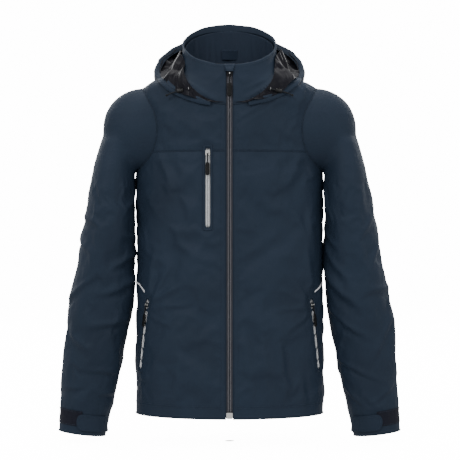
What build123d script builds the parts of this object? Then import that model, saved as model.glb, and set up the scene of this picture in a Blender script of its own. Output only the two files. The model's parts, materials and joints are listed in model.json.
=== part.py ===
from build123d import *
import os
from math import atan2, cos, degrees, hypot, pi, radians, sin, sqrt

# Hip-length foul weather jacket, hanging as if worn, hood down and every zip closed.
# Millimetres. The origin is the centre of the neck at shoulder height, +Z is up and
# the front faces -Y, so the wearer's right is -X.

# ---- driving dimensions ----
HEM_Z = -686.0
COLLAR_TOP_Z = 51.0
FRONT_Y_HEM = -124.0
FRONT_Y_COLLAR = -92.0
SHELL = 2.0
LINING = 0.8
LINING_DEPTH = 7.5
SIDE_SEAM_Y = 25.0
YOKE_SEAM_Z = -129.0
FRONT_GAP = 7.5
PANEL_OVERRUN = 20.0
BIG = 1000.0

# height, half-width and back line of the torso at each level
TORSO_LEVELS = [
    (HEM_Z, 201.0, 130.0),
    (-540.0, 201.0, 125.0),
    (-400.0, 201.0, 122.0),
    (-250.0, 201.0, 126.0),
    (-165.0, 202.0, 127.0),
    (-120.0, 203.0, 124.0),
    (-60.0, 205.0, 108.0),
    (-20.0, 204.0, 92.0),
    (10.0, 188.0, 84.0),
    (26.0, 158.0, 80.0),
    (48.0, 100.0, 76.0),
]

# armhole: a barrel lying front to back, about whose axis the sleeve turns
SHOULDER_X = 184.0
SHOULDER_Z = -78.0
ARMHOLE_R = 88.0
ARMHOLE_DEPTH = 62.0
ARMHOLE_EDGE_R = 42.0
ARMHOLE_CLEARANCE = 0.8
SLEEVE_START_X = 174.0

# sleeve: height, centre, half-width and half-depth at each level
SLEEVE_LEVELS = [
    (-100.0, 241.0, 34.0, 56.0),
    (-150.0, 247.3, 43.3, 66.0),
    (-190.0, 250.9, 47.1, 71.0),
    (-229.0, 254.8, 51.2, 72.0),
    (-315.0, 262.8, 59.2, 70.0),
    (-401.0, 269.4, 65.6, 66.0),
    (-487.0, 278.9, 68.0, 60.0),
    (-573.0, 293.4, 61.4, 53.0),
    (-659.0, 306.0, 55.0, 46.0),
]
CUFF_X = 317.0
CUFF_Z = -729.0
CUFF_HALF_WIDTH = 50.0
CUFF_HALF_DEPTH = 41.0
CUFF_TILT = 7.0
CUFF_TAB_Z = -703.0
CUFF_TAB_HEIGHT = 34.0
CUFF_PATCH_Z = -695.0
CUFF_PATCH_HEIGHT = 34.0

# collar: y and z of the front and back points of its two edges
COLLAR_HALF_BASE = 103.0
COLLAR_HALF_TOP = 101.0
COLLAR_BASE_FRONT = (-95.6, -31.0)
COLLAR_BASE_BACK = (78.0, 50.0)
COLLAR_TOP_FRONT = (-92.0, COLLAR_TOP_Z)
COLLAR_TOP_BACK = (80.0, 159.0)
COLLAR_WALL = 1.6
COLLAR_LAYER_GAP = 0.3
NECK_SEAM_CLEARANCE = 0.5

# hood, lying open behind the collar: y, z, tilt, half-width and half-length of each ring
HOOD_RINGS = [
    (11.0, 52.0, 38.4, 160.0, 141.6),
    (21.0, 39.0, 37.0, 165.0, 140.0),
    (50.0, 8.0, 30.0, 160.0, 122.0),
    (84.0, -35.0, 18.0, 142.0, 88.0),
    (112.0, -85.0, 8.0, 112.0, 55.0),
    (126.0, -135.0, 2.0, 75.0, 28.0),
    (128.0, -160.0, 0.0, 40.0, 12.0),
]
HOOD_SPLIT_Y = 5.0
HOOD_SPLIT_GAP = 0.6
HOOD_CLEARANCE = 1.0
HOOD_FRONT_SPREAD = 6.0
HOOD_FRONT_END = 26.0

# zips: one profile, scaled; local x across, y up along the zip, z out of the jacket
MAIN_ZIP_SCALE = 1.2
POCKET_ZIP_SCALE = 1.0
COIL_INNER = 0.7
COIL_OUTER = 3.2
COIL_THICKNESS = 1.5
TAPE_OUTER = 5.9
TAPE_BACK = -2.5
TAPE_THICKNESS = 0.8
SLIDER_HALF_WIDTH = 4.9
SLIDER_LENGTH = 11.0
SLIDER_PLATE = 1.2
SLIDER_CLEARANCE = 0.4
SLIDER_WEB = 0.35
CROWN_HEIGHT = 2.4
CROWN_PIN_R = 0.8
CROWN_EYE_R = 1.15
CROWN_EYE_OUTER = 2.1
CROWN_EYE_HALF = 1.5
CROWN_POST = 1.0
PULL_CORD_R = 1.5
PULL_CORD_LENGTH = 22.0
PULL_GRIP_LENGTH = 27.0
PULL_GRIP_WIDTH = 8.5
PULL_GRIP_THICKNESS = 3.6
ZIP_WINDOW = 6.6
ZIP_WINDOW_END = 9.0

CHEST_ZIP_X = -45.4
CHEST_ZIP_TOP = -124.0
CHEST_ZIP_BOTTOM = -288.0
HAND_ZIP_TOP = (173.5, -443.0)
HAND_ZIP_BOTTOM = (190.0, -588.0)
TAB_TRIM_OUTER = (199.5, -405.0)
TAB_TRIM_INNER = (178.0, -424.0)
TRIM_THICKNESS = 0.5
TRIM_WIDTH = 4.5

CORD_LOCK_X = 103.0
CORD_LOCK_Y = -91.0
CORD_LOCK_Z = -3.0
CORD_LOCK_R = 4.2
CORD_LOCK_LENGTH = 14.0
HOOD_CORD_R = 1.3


# ---- shared shapes ----
def front_y(z):
    """Front line of the jacket, straight from the hem to the top of the collar."""
    share = (z - HEM_Z) / (COLLAR_TOP_Z - HEM_Z)
    return FRONT_Y_HEM + share * (FRONT_Y_COLLAR - FRONT_Y_HEM)


def block(x_range, y_range, z_range):
    """A plain box between two limits along each axis."""
    size = [high - low for low, high in (x_range, y_range, z_range)]
    middle = [(high + low) / 2 for low, high in (x_range, y_range, z_range)]
    with BuildPart(Plane(origin=middle)) as box:
        Box(*size)
    return box.part


def ring_plane(y, z, tilt):
    """A plane across the neck whose back edge is raised by tilt degrees."""
    t = radians(tilt)
    return Plane(origin=(0, y, z), x_dir=(1, 0, 0), z_dir=(0, -sin(t), cos(t)))


def ring_between(front, back):
    """Plane and half-length of an oval that runs from a front to a back point."""
    rise = degrees(atan2(back[1] - front[1], back[0] - front[0]))
    middle = ring_plane((front[0] + back[0]) / 2, (front[1] + back[1]) / 2, rise)
    return middle, hypot(back[0] - front[0], back[1] - front[1]) / 2


def oval_loft(rings):
    """A solid through ovals, each given as a plane and two half-axes."""
    with BuildPart() as solid:
        for plane, half_width, half_depth in rings:
            with BuildSketch(plane):
                Ellipse(half_width, half_depth)
        loft(ruled=True)
    return solid.part


def hollow(outer, inner):
    """The wall between an outer and an inner solid."""
    with BuildPart() as wall:
        add(outer)
        add(inner, mode=Mode.SUBTRACT)
    return wall.part


def cut_from(solid, tools):
    """The solid with every tool taken away."""
    with BuildPart() as rest:
        add(solid)
        for tool in tools:
            add(tool, mode=Mode.SUBTRACT)
    return rest.part


def piece_of(solid, region):
    """What a solid shares with a region."""
    with BuildPart() as piece:
        add(solid)
        add(region, mode=Mode.INTERSECT)
    return piece.part


def save(name, part):
    """Label a finished piece and write its STEP file."""
    part.label = name
    export_step(part, "parts/" + name + ".step")


def torso_volume(grow, open_ends):
    """Torso outline grown by some millimetres; open ends run past the hem and neck."""
    rings = []
    for z, half_width, back in TORSO_LEVELS:
        front = front_y(z)
        level = z + min(grow, 0)
        plane = Plane(origin=(0, (front + back) / 2, level if z > HEM_Z else z))
        rings.append((plane, half_width + grow, (back - front) / 2 + grow))
    if open_ends:
        low, high = rings[0], rings[-1]
        rings.insert(0, (low[0].offset(-PANEL_OVERRUN), low[1], low[2]))
        rings.append((high[0].offset(PANEL_OVERRUN), high[1], high[2]))
    return oval_loft(rings)


def torso_point(x, z):
    """Point and outward direction of the torso's front at a given x and height."""
    levels = sorted(TORSO_LEVELS)
    below = max(level for level in levels if level[0] <= z)
    above = min(level for level in levels if level[0] > z)
    share = (z - below[0]) / (above[0] - below[0])
    half_width = below[1] + share * (above[1] - below[1])
    back = below[2] + share * (above[2] - below[2])
    depth = (back - front_y(z)) / 2
    y = (back + front_y(z)) / 2 - depth * sqrt(1 - (x / half_width) ** 2)
    out = Vector(x / half_width**2, (y - (back + front_y(z)) / 2) / depth**2, 0)
    return Vector(x, y, z), out.normalized()


def armhole_ball(side, grow):
    """The barrel at one shoulder, round about Y; side is -1 for the wearer's right."""
    centre = (side * SHOULDER_X, 0, SHOULDER_Z)
    depth = ARMHOLE_DEPTH + grow
    edge_r = ARMHOLE_EDGE_R + grow
    with BuildPart() as ball:
        with BuildSketch(Plane(origin=centre, x_dir=(-side, 0, 0), z_dir=(0, 0, 1))):
            with BuildLine():
                ThreePointArc((edge_r, -depth), (ARMHOLE_R + grow, 0), (edge_r, depth))
                Polyline((edge_r, depth), (0, depth), (0, -depth), (edge_r, -depth))
            make_face()
        revolve(axis=Axis(centre, (0, 1, 0)))
    return ball.part


def sleeve_tube(side, grow, open_end):
    """Sleeve outline from inside the armhole down to the cuff."""
    rings = []
    for z, centre, half_width, half_depth in SLEEVE_LEVELS:
        plane = Plane(origin=(side * centre, 0, z))
        rings.append((plane, half_width + grow, half_depth + grow))
    t = radians(CUFF_TILT) * side
    cuff = Plane(
        origin=(side * CUFF_X, 0, CUFF_Z), x_dir=(cos(t), 0, sin(t)), z_dir=(-sin(t), 0, cos(t))
    )
    rings.append((cuff, CUFF_HALF_WIDTH + grow, CUFF_HALF_DEPTH + grow))
    if open_end:
        rings.append((cuff.offset(-PANEL_OVERRUN), *rings[-1][1:]))
    return oval_loft(rings)


def sleeve_volume(side, grow, open_end, start):
    """Barrel and tube of one sleeve together, cut off flat inside the armhole."""
    with BuildPart() as volume:
        add(armhole_ball(side, grow))
        add(sleeve_tube(side, grow, open_end))
        near, far = sorted((side * start, side * BIG))
        add(block((near, far), (-BIG, BIG), (-BIG, BIG)), mode=Mode.INTERSECT)
    return volume.part


def collar_volume(grow, over_base, over_top):
    """Collar outline, with its base and top edges moved out along their planes."""
    base, base_half = ring_between(COLLAR_BASE_FRONT, COLLAR_BASE_BACK)
    top, top_half = ring_between(COLLAR_TOP_FRONT, COLLAR_TOP_BACK)
    return oval_loft(
        [
            (base.offset(-over_base), COLLAR_HALF_BASE + grow, base_half + grow),
            (base, COLLAR_HALF_BASE + grow, base_half + grow),
            (top, COLLAR_HALF_TOP + grow, top_half + grow),
            (top.offset(over_top), COLLAR_HALF_TOP + grow, top_half + grow),
        ]
    )


def hood_volume(grow, over_rim):
    """Hood outline; the rim ring can be carried on past the rim."""
    rings = []
    for y, z, tilt, half_width, half_length in HOOD_RINGS:
        rings.append((ring_plane(y, z, tilt), half_width + grow, half_length + grow))
    y, z, tilt, half_width, half_length = HOOD_RINGS[-1]
    rings[-1] = (ring_plane(y, z - grow, tilt), half_width + grow, half_length + grow)
    if over_rim:
        rings.insert(0, (rings[0][0].offset(over_rim), rings[0][1], rings[0][2]))
    return oval_loft(rings)


os.makedirs("parts", exist_ok=True)


# ---- torso ----
armholes = [armhole_ball(side, ARMHOLE_CLEARANCE) for side in (-1, 1)]
neck_hole = collar_volume(NECK_SEAM_CLEARANCE, 3, 30)
torso_wall = hollow(torso_volume(0, False), torso_volume(-SHELL, True))
torso_wall = cut_from(torso_wall, armholes + [neck_hole])


def zip_plane(low, high):
    """Plane of a pocket zip from its lower to its upper end, each as (x, z)."""
    bottom, out_low = torso_point(*low)
    top, out_high = torso_point(*high)
    along = (top - bottom).normalized()
    out = out_low + out_high
    out = (out - along * out.dot(along)).normalized()
    return Plane(origin=bottom, x_dir=along.cross(out), z_dir=out), (top - bottom).length


def zip_window(plane, length, half_width):
    """Slot that a pocket zip needs through the cloth."""
    with BuildPart() as slot:
        with BuildSketch(plane.offset(-BIG / 60)):
            with Locations((0, length / 2)):
                Rectangle(2 * half_width, length + 2 * ZIP_WINDOW_END)
        extrude(amount=BIG / 30)
    return slot.part


chest_plane, chest_length = zip_plane((CHEST_ZIP_X, CHEST_ZIP_BOTTOM), (CHEST_ZIP_X, CHEST_ZIP_TOP))
hand_zips = {}
for side, name in ((-1, "right"), (1, "left")):
    low = (side * HAND_ZIP_BOTTOM[0], HAND_ZIP_BOTTOM[1])
    high = (side * HAND_ZIP_TOP[0], HAND_ZIP_TOP[1])
    hand_zips[name] = zip_plane(low, high)
windows = [zip_window(chest_plane, chest_length, ZIP_WINDOW)]
windows += [zip_window(plane, length, ZIP_WINDOW) for plane, length in hand_zips.values()]

FRONT = (-BIG, SIDE_SEAM_Y)
BACK = (SIDE_SEAM_Y, BIG)
BELOW_YOKE = (-BIG, YOKE_SEAM_Z)
ABOVE_YOKE = (YOKE_SEAM_Z, BIG)
RIGHT = (-BIG, -FRONT_GAP)
LEFT = (FRONT_GAP, BIG)
cut_wall = cut_from(torso_wall, windows)
save("right_front", piece_of(cut_wall, block(RIGHT, FRONT, BELOW_YOKE)))
save("left_front", piece_of(cut_wall, block(LEFT, FRONT, BELOW_YOKE)))
save("right_front_yoke", piece_of(cut_wall, block(RIGHT, FRONT, ABOVE_YOKE)))
save("left_front_yoke", piece_of(cut_wall, block(LEFT, FRONT, ABOVE_YOKE)))
save("back_panel", piece_of(torso_wall, block((-BIG, BIG), BACK, BELOW_YOKE)))
save("back_yoke", piece_of(torso_wall, block((-BIG, BIG), BACK, ABOVE_YOKE)))


def body_lining():
    """Loose lining inside the torso, open at the hem, neck, armholes and front facing."""
    facing = block((-31, 31), (-BIG, 0), (-BIG, BIG))
    hem = block((-BIG, BIG), (-BIG, BIG), (-BIG, HEM_Z + 42))
    wall = hollow(torso_volume(-LINING_DEPTH, True), torso_volume(-LINING_DEPTH - LINING, True))
    return cut_from(wall, armholes + [neck_hole, facing, hem])


def hem_facing():
    """Band of shell cloth turned up inside the hem, open at the front zip."""
    wall = hollow(torso_volume(-SHELL - 0.4, True), torso_volume(-SHELL - 1.4, True))
    zip_space = block((-9, 9), (-BIG, 0), (-BIG, BIG))
    band = block((-BIG, BIG), (-BIG, BIG), (HEM_Z + 1, HEM_Z + 40))
    return cut_from(piece_of(wall, band), [zip_space])


def pocket_bag(x_range, z_range):
    """Flat pocket bag between the shell and the lining."""
    wall = hollow(torso_volume(-3.2, True), torso_volume(-6.0, True))
    return piece_of(wall, block(x_range, (-BIG, 0), z_range))


def corner_trim(side):
    """Short slanting strip from the side of the body to the top of a hand pocket."""
    outer = (side * TAB_TRIM_OUTER[0], TAB_TRIM_OUTER[1])
    inner = (side * TAB_TRIM_INNER[0], TAB_TRIM_INNER[1])
    run = (outer[0] - inner[0], 0, outer[1] - inner[1])
    middle = ((outer[0] + inner[0]) / 2, 0, (outer[1] + inner[1]) / 2)
    wall = hollow(torso_volume(0.3 + TRIM_THICKNESS, False), torso_volume(0.3, True))
    region = Plane(origin=middle, x_dir=run, z_dir=(0, -1, 0))
    with BuildPart() as strip:
        with BuildSketch(region):
            Rectangle(hypot(run[0], run[2]), TRIM_WIDTH)
        extrude(amount=BIG / 5)
    return piece_of(wall, strip.part)


save("body_lining", body_lining())
save("hem_facing", hem_facing())
save("chest_pocket_bag", pocket_bag((-140, -54), (-335, -140)))
save("right_pocket_bag", pocket_bag((-160, -70), (-620, -445)))
save("left_pocket_bag", pocket_bag((70, 160), (-620, -445)))
save("right_corner_trim", corner_trim(-1))
save("left_corner_trim", corner_trim(1))


# ---- sleeves and cuffs ----
def sleeve(side, outside, inside, start):
    """One sleeve layer between two distances from the outer surface."""
    wall = sleeve_volume(side, -outside, outside > 0, start)
    return hollow(wall, sleeve_volume(side, -inside, True, SLEEVE_START_X - 30))


def cuff_band(side, low, high, x_range, middle_z, height):
    """Patch that follows the front of a cuff between two heights above its surface."""
    wall = hollow(sleeve_tube(side, high, False), sleeve_tube(side, low, True))
    x_low, x_high = sorted((side * x_range[0], side * x_range[1]))
    z_range = (middle_z - height / 2, middle_z + height / 2)
    return piece_of(wall, block((x_low, x_high), (-BIG, -4), z_range))


lining = sleeve(-1, SHELL + 0.4, SHELL + 0.4 + LINING, SLEEVE_START_X + 4)
stop = block((-BIG, BIG), (-BIG, BIG), (-BIG, CUFF_Z + 30))
right_arm = {
    "sleeve": sleeve(-1, 0, SHELL, SLEEVE_START_X),
    "sleeve_lining": cut_from(lining, [stop]),
    "cuff_patch": cuff_band(-1, 0.1, 0.6, (312, BIG), CUFF_PATCH_Z, CUFF_PATCH_HEIGHT),
    "cuff_tab": cuff_band(-1, 1.0, 2.4, (262, 324), CUFF_TAB_Z, CUFF_TAB_HEIGHT),
}
for piece, solid in right_arm.items():
    save("right_" + piece, solid)
    save("left_" + piece, mirror(solid, about=Plane.YZ))


# ---- collar ----
front_opening = block((-FRONT_GAP, FRONT_GAP), (-BIG, 0), (-BIG, BIG))
collar_outer = hollow(collar_volume(0, 0.01, 0.01), collar_volume(-COLLAR_WALL, 5, 5))
save("collar_outer", cut_from(collar_outer, [front_opening]))
lining_outside = -COLLAR_WALL - COLLAR_LAYER_GAP
collar_lining = hollow(
    collar_volume(lining_outside, 0.01, 0.01), collar_volume(lining_outside - COLLAR_WALL, 5, 5)
)
save("collar_lining", cut_from(collar_lining, [front_opening]))

HANGER_Y = 67.5
HANGER_Z = 66.0
with BuildPart() as hanger_loop:
    with BuildSketch(Plane(origin=(0, HANGER_Y, HANGER_Z))):
        with BuildLine():
            Polyline((-32, 2), (-28, -9), (28, -9), (32, 2), (30, 2.4), (26.6, -7.6), (-26.6, -7.6))
            Line((-26.6, -7.6), (-30, 2.4))
            Line((-30, 2.4), (-32, 2))
        make_face()
    extrude(amount=8)
save("hanger_loop", hanger_loop.part)

with BuildPart() as size_label:
    with BuildSketch(Plane(origin=(0, 70.5, 90), x_dir=(1, 0, 0), z_dir=(0, -1, 0))):
        Rectangle(34, 22)
    extrude(amount=0.6)
save("size_label", size_label.part)


# ---- hood ----
clear_of = [torso_volume(HOOD_CLEARANCE, True), collar_volume(HOOD_CLEARANCE, 40, 40)]
hood_wall = cut_from(hollow(hood_volume(0, 0), hood_volume(-SHELL, 30)), clear_of)
hood_inner = hollow(hood_volume(-SHELL - 0.4, 0), hood_volume(-SHELL - 0.4 - LINING, 30))
hood_inner = cut_from(hood_inner, clear_of)
BEHIND_SHOULDERS = (HOOD_SPLIT_Y + HOOD_SPLIT_GAP / 2, BIG)
BEFORE_SHOULDERS = (-BIG, HOOD_SPLIT_Y - HOOD_SPLIT_GAP / 2)
EVERYWHERE = (-BIG, BIG)
save("hood_shell", piece_of(hood_wall, block(EVERYWHERE, BEHIND_SHOULDERS, EVERYWHERE)))
save("hood_lining", piece_of(hood_inner, block(EVERYWHERE, BEHIND_SHOULDERS, EVERYWHERE)))


def hood_front(x_range):
    """Front end of the hood on one side: a double layer lying round the collar's base."""
    y, z, tilt, half_width, half_length = HOOD_RINGS[0]
    layers = hollow(torso_volume(HOOD_CLEARANCE + 3.0, True), torso_volume(HOOD_CLEARANCE, True))
    with BuildPart() as footprint:
        with BuildSketch(ring_plane(y, z, tilt).offset(-90)):
            Ellipse(half_width, half_length + HOOD_FRONT_SPREAD)
        extrude(amount=150)
    around_neck = piece_of(layers, footprint.part)
    return piece_of(cut_from(around_neck, clear_of[1:]), block(x_range, BEFORE_SHOULDERS, EVERYWHERE))


save("hood_front_right", hood_front((-BIG, -HOOD_FRONT_END)))
save("hood_front_left", hood_front((HOOD_FRONT_END, BIG)))


def lock_plane(side):
    """Plane across the hood cord at its lock; local z points outward along the cord."""
    return Plane(
        origin=(side * CORD_LOCK_X, CORD_LOCK_Y, CORD_LOCK_Z),
        x_dir=(0, 0, 1),
        z_dir=(side * 0.95, 0.26, -0.2),
    )


def hood_cord(side):
    """Elastic cord: a straight run through its lock, with a knot at the free end."""
    with BuildPart() as cord:
        with BuildSketch(lock_plane(side).offset(-24)):
            Circle(HOOD_CORD_R)
        extrude(amount=54)
        with Locations(lock_plane(side).offset(30)):
            Sphere(2.6)
    return cord.part


def cord_lock(side):
    """Barrel lock with a bore for the cord and a button seat on its side."""
    with BuildPart() as lock:
        with BuildSketch(lock_plane(side).offset(-CORD_LOCK_LENGTH / 2)):
            Circle(CORD_LOCK_R)
            Circle(HOOD_CORD_R + 0.35, mode=Mode.SUBTRACT)
        extrude(amount=CORD_LOCK_LENGTH)
    return lock.part


def eyelet(side):
    """Metal ring where the cord leaves the hood's hem."""
    with BuildPart() as ring:
        with BuildSketch(lock_plane(side).offset(-20)):
            Circle(3.6)
            Circle(HOOD_CORD_R + 0.4, mode=Mode.SUBTRACT)
        extrude(amount=1.4)
    return ring.part


for side, name in ((-1, "right"), (1, "left")):
    save(name + "_hood_cord", hood_cord(side))
    save(name + "_cord_lock", cord_lock(side))
    save(name + "_hood_eyelet", eyelet(side))


# ---- zips ----
def bars(plane, x_range, y_range, z_range):
    """A matching pair of bars left and right of a zip's centre line."""
    with BuildPart() as pair:
        with BuildSketch(plane.offset(z_range[0])):
            with Locations(
                ((x_range[0] + x_range[1]) / 2, sum(y_range) / 2),
                (-(x_range[0] + x_range[1]) / 2, sum(y_range) / 2),
            ):
                Rectangle(x_range[1] - x_range[0], y_range[1] - y_range[0])
        extrude(amount=z_range[1] - z_range[0])
    return pair.part


def zip_tapes(plane, span, scale):
    """Both tapes of a zip."""
    depths = (TAPE_BACK * scale, (TAPE_BACK + TAPE_THICKNESS) * scale)
    return bars(plane, (COIL_INNER * scale, TAPE_OUTER * scale), span, depths)


def zip_coils(plane, span, scale):
    """Both rows of coil, on the outside of the tapes."""
    bottom = (TAPE_BACK + TAPE_THICKNESS) * scale
    depths = (bottom, bottom + COIL_THICKNESS * scale)
    return bars(plane, (COIL_INNER * scale, COIL_OUTER * scale), span, depths)


def crown_height(scale):
    """Height of the pull's pivot above the jacket's surface."""
    coil_top = (TAPE_BACK + TAPE_THICKNESS + COIL_THICKNESS) * scale
    return coil_top + SLIDER_CLEARANCE + (SLIDER_PLATE + CROWN_HEIGHT) * scale


def zip_slider(plane, at, scale):
    """Slider: two plates joined by a web between the coils, and a crown for the pull."""
    coil_top = (TAPE_BACK + TAPE_THICKNESS + COIL_THICKNESS) * scale
    tape_top = (TAPE_BACK + TAPE_THICKNESS) * scale
    face = coil_top + SLIDER_CLEARANCE
    back = TAPE_BACK * scale - SLIDER_CLEARANCE
    half = SLIDER_HALF_WIDTH * scale
    pin = crown_height(scale)
    posts = (CROWN_EYE_HALF + 0.3) * scale
    with BuildPart() as slider:
        for depth in (face, back - SLIDER_PLATE * scale):
            with BuildSketch(plane.offset(depth)):
                with Locations((0, at)):
                    RectangleRounded(2 * half, SLIDER_LENGTH * scale, 2.2 * scale)
            extrude(amount=SLIDER_PLATE * scale)
        with BuildSketch(plane.offset(back)):
            with Locations((0, at)):
                Rectangle(2 * SLIDER_WEB * scale, SLIDER_LENGTH * scale * 0.6)
        extrude(amount=face - back)
        with BuildSketch(plane.offset(tape_top + SLIDER_CLEARANCE)):
            with Locations((half - 0.5 * scale, at), (0.5 * scale - half, at)):
                Rectangle(scale, SLIDER_LENGTH * scale * 0.6)
        extrude(amount=face - tape_top - SLIDER_CLEARANCE)
        with BuildSketch(plane.offset(face + SLIDER_PLATE * scale)):
            with Locations((posts + CROWN_POST / 2, at), (-posts - CROWN_POST / 2, at)):
                Rectangle(CROWN_POST, 2.6 * scale)
        extrude(amount=(CROWN_HEIGHT + CROWN_PIN_R) * scale)
        across = Plane(origin=plane.from_local_coords((0, at, pin)), x_dir=plane.y_dir, z_dir=plane.x_dir)
        with BuildSketch(across.offset(-posts - CROWN_POST / 2)):
            Circle(CROWN_PIN_R * scale)
        extrude(amount=2 * posts + CROWN_POST)
    return slider.part


def zip_pull(plane, at, scale):
    """Pull: an eye round the crown pin, a cord and a moulded grip, hanging down."""
    pin = crown_height(scale)
    across = Plane(origin=plane.from_local_coords((0, at, pin)), x_dir=plane.y_dir, z_dir=plane.x_dir)
    along = Plane(origin=across.origin, x_dir=plane.x_dir, z_dir=-plane.y_dir)
    grip_middle = PULL_CORD_LENGTH + PULL_GRIP_LENGTH / 2
    with BuildPart() as pull:
        with BuildSketch(across.offset(-CROWN_EYE_HALF * scale)):
            Circle(CROWN_EYE_OUTER * scale)
            Circle(CROWN_EYE_R * scale, mode=Mode.SUBTRACT)
        extrude(amount=2 * CROWN_EYE_HALF * scale)
        with BuildSketch(along.offset(1.6 * scale)):
            Circle(min(PULL_CORD_R, CROWN_EYE_HALF * scale) - 0.1)
        extrude(amount=PULL_CORD_LENGTH)
        with BuildSketch(plane.offset(pin - PULL_GRIP_THICKNESS / 2)):
            with Locations((0, at - grip_middle)):
                RectangleRounded(PULL_GRIP_WIDTH, PULL_GRIP_LENGTH, 3.2)
        extrude(amount=PULL_GRIP_THICKNESS)
    return pull.part


main_length = hypot(FRONT_Y_COLLAR - FRONT_Y_HEM, COLLAR_TOP_Z - HEM_Z)
main_plane = Plane(
    origin=(0, FRONT_Y_HEM, HEM_Z),
    x_dir=(1, 0, 0),
    z_dir=(0, HEM_Z - COLLAR_TOP_Z, FRONT_Y_COLLAR - FRONT_Y_HEM),
)
MAIN_ZIP_SPAN = (15.0, main_length - 9)
MAIN_SLIDER_AT = main_length - 18
WEARERS_RIGHT = block((-BIG, 0), EVERYWHERE, EVERYWHERE)
WEARERS_LEFT = block((0, BIG), EVERYWHERE, EVERYWHERE)
main_tapes = zip_tapes(main_plane, MAIN_ZIP_SPAN, MAIN_ZIP_SCALE)
main_coils = zip_coils(main_plane, MAIN_ZIP_SPAN, MAIN_ZIP_SCALE)
save("main_tape_right", piece_of(main_tapes, WEARERS_RIGHT))
save("main_tape_left", piece_of(main_tapes, WEARERS_LEFT))
save("main_coil_right", piece_of(main_coils, WEARERS_RIGHT))
save("main_coil_left", piece_of(main_coils, WEARERS_LEFT))
save("main_slider", zip_slider(main_plane, MAIN_SLIDER_AT, MAIN_ZIP_SCALE))
save("main_pull", zip_pull(main_plane, MAIN_SLIDER_AT, MAIN_ZIP_SCALE))

with BuildPart() as bottom_box:
    with BuildSketch(main_plane.offset(-3.2)):
        with Locations((0, 7.5)):
            RectangleRounded(13, 13, 1.8)
    extrude(amount=4.4)
save("zip_bottom_box", bottom_box.part)

with BuildPart() as storm_flap:
    with BuildSketch(main_plane.offset(-9.2)):
        with Locations((0, main_length / 2)):
            Rectangle(56, main_length - 12)
    extrude(amount=1.2)
save("storm_flap", storm_flap.part)

with BuildPart() as zip_garage:
    with BuildSketch(main_plane.offset(-6)):
        with Locations((0, main_length - 4)):
            Rectangle(30, 15)
    extrude(amount=12.5)
    with BuildSketch(main_plane.offset(-7)):
        with Locations((0, main_length - 9)):
            Rectangle(16, 15)
    extrude(amount=11, mode=Mode.SUBTRACT)
garage_room = [collar_volume(0.3, 5, 5)]
save("zip_garage", cut_from(zip_garage.part, garage_room))

CHEST_SPAN = (2.0, chest_length - 2)
CHEST_SLIDER_AT = chest_length - 9
save("chest_zip_tapes", zip_tapes(chest_plane, CHEST_SPAN, POCKET_ZIP_SCALE))
save("chest_zip_coils", zip_coils(chest_plane, CHEST_SPAN, POCKET_ZIP_SCALE))
save("chest_slider", zip_slider(chest_plane, CHEST_SLIDER_AT, POCKET_ZIP_SCALE))
save("chest_pull", zip_pull(chest_plane, CHEST_SLIDER_AT, POCKET_ZIP_SCALE))

for name, (plane, length) in hand_zips.items():
    span = (2.0, length - 2)
    save(name + "_pocket_zip_tapes", zip_tapes(plane, span, POCKET_ZIP_SCALE))
    save(name + "_pocket_zip_coils", zip_coils(plane, span, POCKET_ZIP_SCALE))
    save(name + "_pocket_slider", zip_slider(plane, length - 9, POCKET_ZIP_SCALE))
    save(name + "_pocket_pull", zip_pull(plane, length - 9, POCKET_ZIP_SCALE))
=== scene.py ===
import bpy
import bmesh
import json
import math
import numpy as np
from mathutils import Matrix, Vector, noise
from mathutils.bvhtree import BVHTree


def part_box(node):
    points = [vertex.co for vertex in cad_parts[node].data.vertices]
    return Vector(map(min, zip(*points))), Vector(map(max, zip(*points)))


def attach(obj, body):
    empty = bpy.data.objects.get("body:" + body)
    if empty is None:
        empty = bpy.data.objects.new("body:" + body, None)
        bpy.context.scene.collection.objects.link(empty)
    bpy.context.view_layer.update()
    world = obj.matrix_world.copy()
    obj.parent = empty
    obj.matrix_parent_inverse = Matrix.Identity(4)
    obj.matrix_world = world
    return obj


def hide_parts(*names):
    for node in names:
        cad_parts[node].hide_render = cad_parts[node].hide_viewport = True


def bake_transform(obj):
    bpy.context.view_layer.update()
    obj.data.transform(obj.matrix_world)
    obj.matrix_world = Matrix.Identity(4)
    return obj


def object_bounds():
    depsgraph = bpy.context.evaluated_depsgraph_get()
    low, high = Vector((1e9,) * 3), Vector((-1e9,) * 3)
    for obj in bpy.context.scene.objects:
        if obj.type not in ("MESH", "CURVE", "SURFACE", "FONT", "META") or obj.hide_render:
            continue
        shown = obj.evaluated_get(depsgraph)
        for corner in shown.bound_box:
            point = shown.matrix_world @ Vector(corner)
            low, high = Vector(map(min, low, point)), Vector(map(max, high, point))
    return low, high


# A hooded foul weather jacket, worn by nobody, on a pale floor. Metres throughout, in
# the frame's own axes: +Z up, the front faces -Y, the wearer's right is -X.

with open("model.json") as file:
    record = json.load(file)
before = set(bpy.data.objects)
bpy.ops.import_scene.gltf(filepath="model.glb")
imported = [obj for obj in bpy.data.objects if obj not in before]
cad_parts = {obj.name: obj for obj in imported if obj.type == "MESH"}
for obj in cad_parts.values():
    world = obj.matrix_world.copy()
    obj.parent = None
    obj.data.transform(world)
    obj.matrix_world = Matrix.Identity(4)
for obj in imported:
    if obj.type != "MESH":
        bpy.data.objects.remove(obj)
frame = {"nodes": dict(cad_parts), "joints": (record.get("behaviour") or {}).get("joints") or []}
cad_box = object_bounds()
scene = bpy.context.scene
SIDES = ((-1, "right"), (1, "left"))

# ---------------------------------------------------------------- places and sizes
HEM_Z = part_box("right_front")[0].z
YOKE_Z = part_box("right_front")[1].z
FRONT_EDGE = 0.0072
SIDE_SEAM_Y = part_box("back_panel")[0].y
CLOTH = 0.0012

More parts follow.
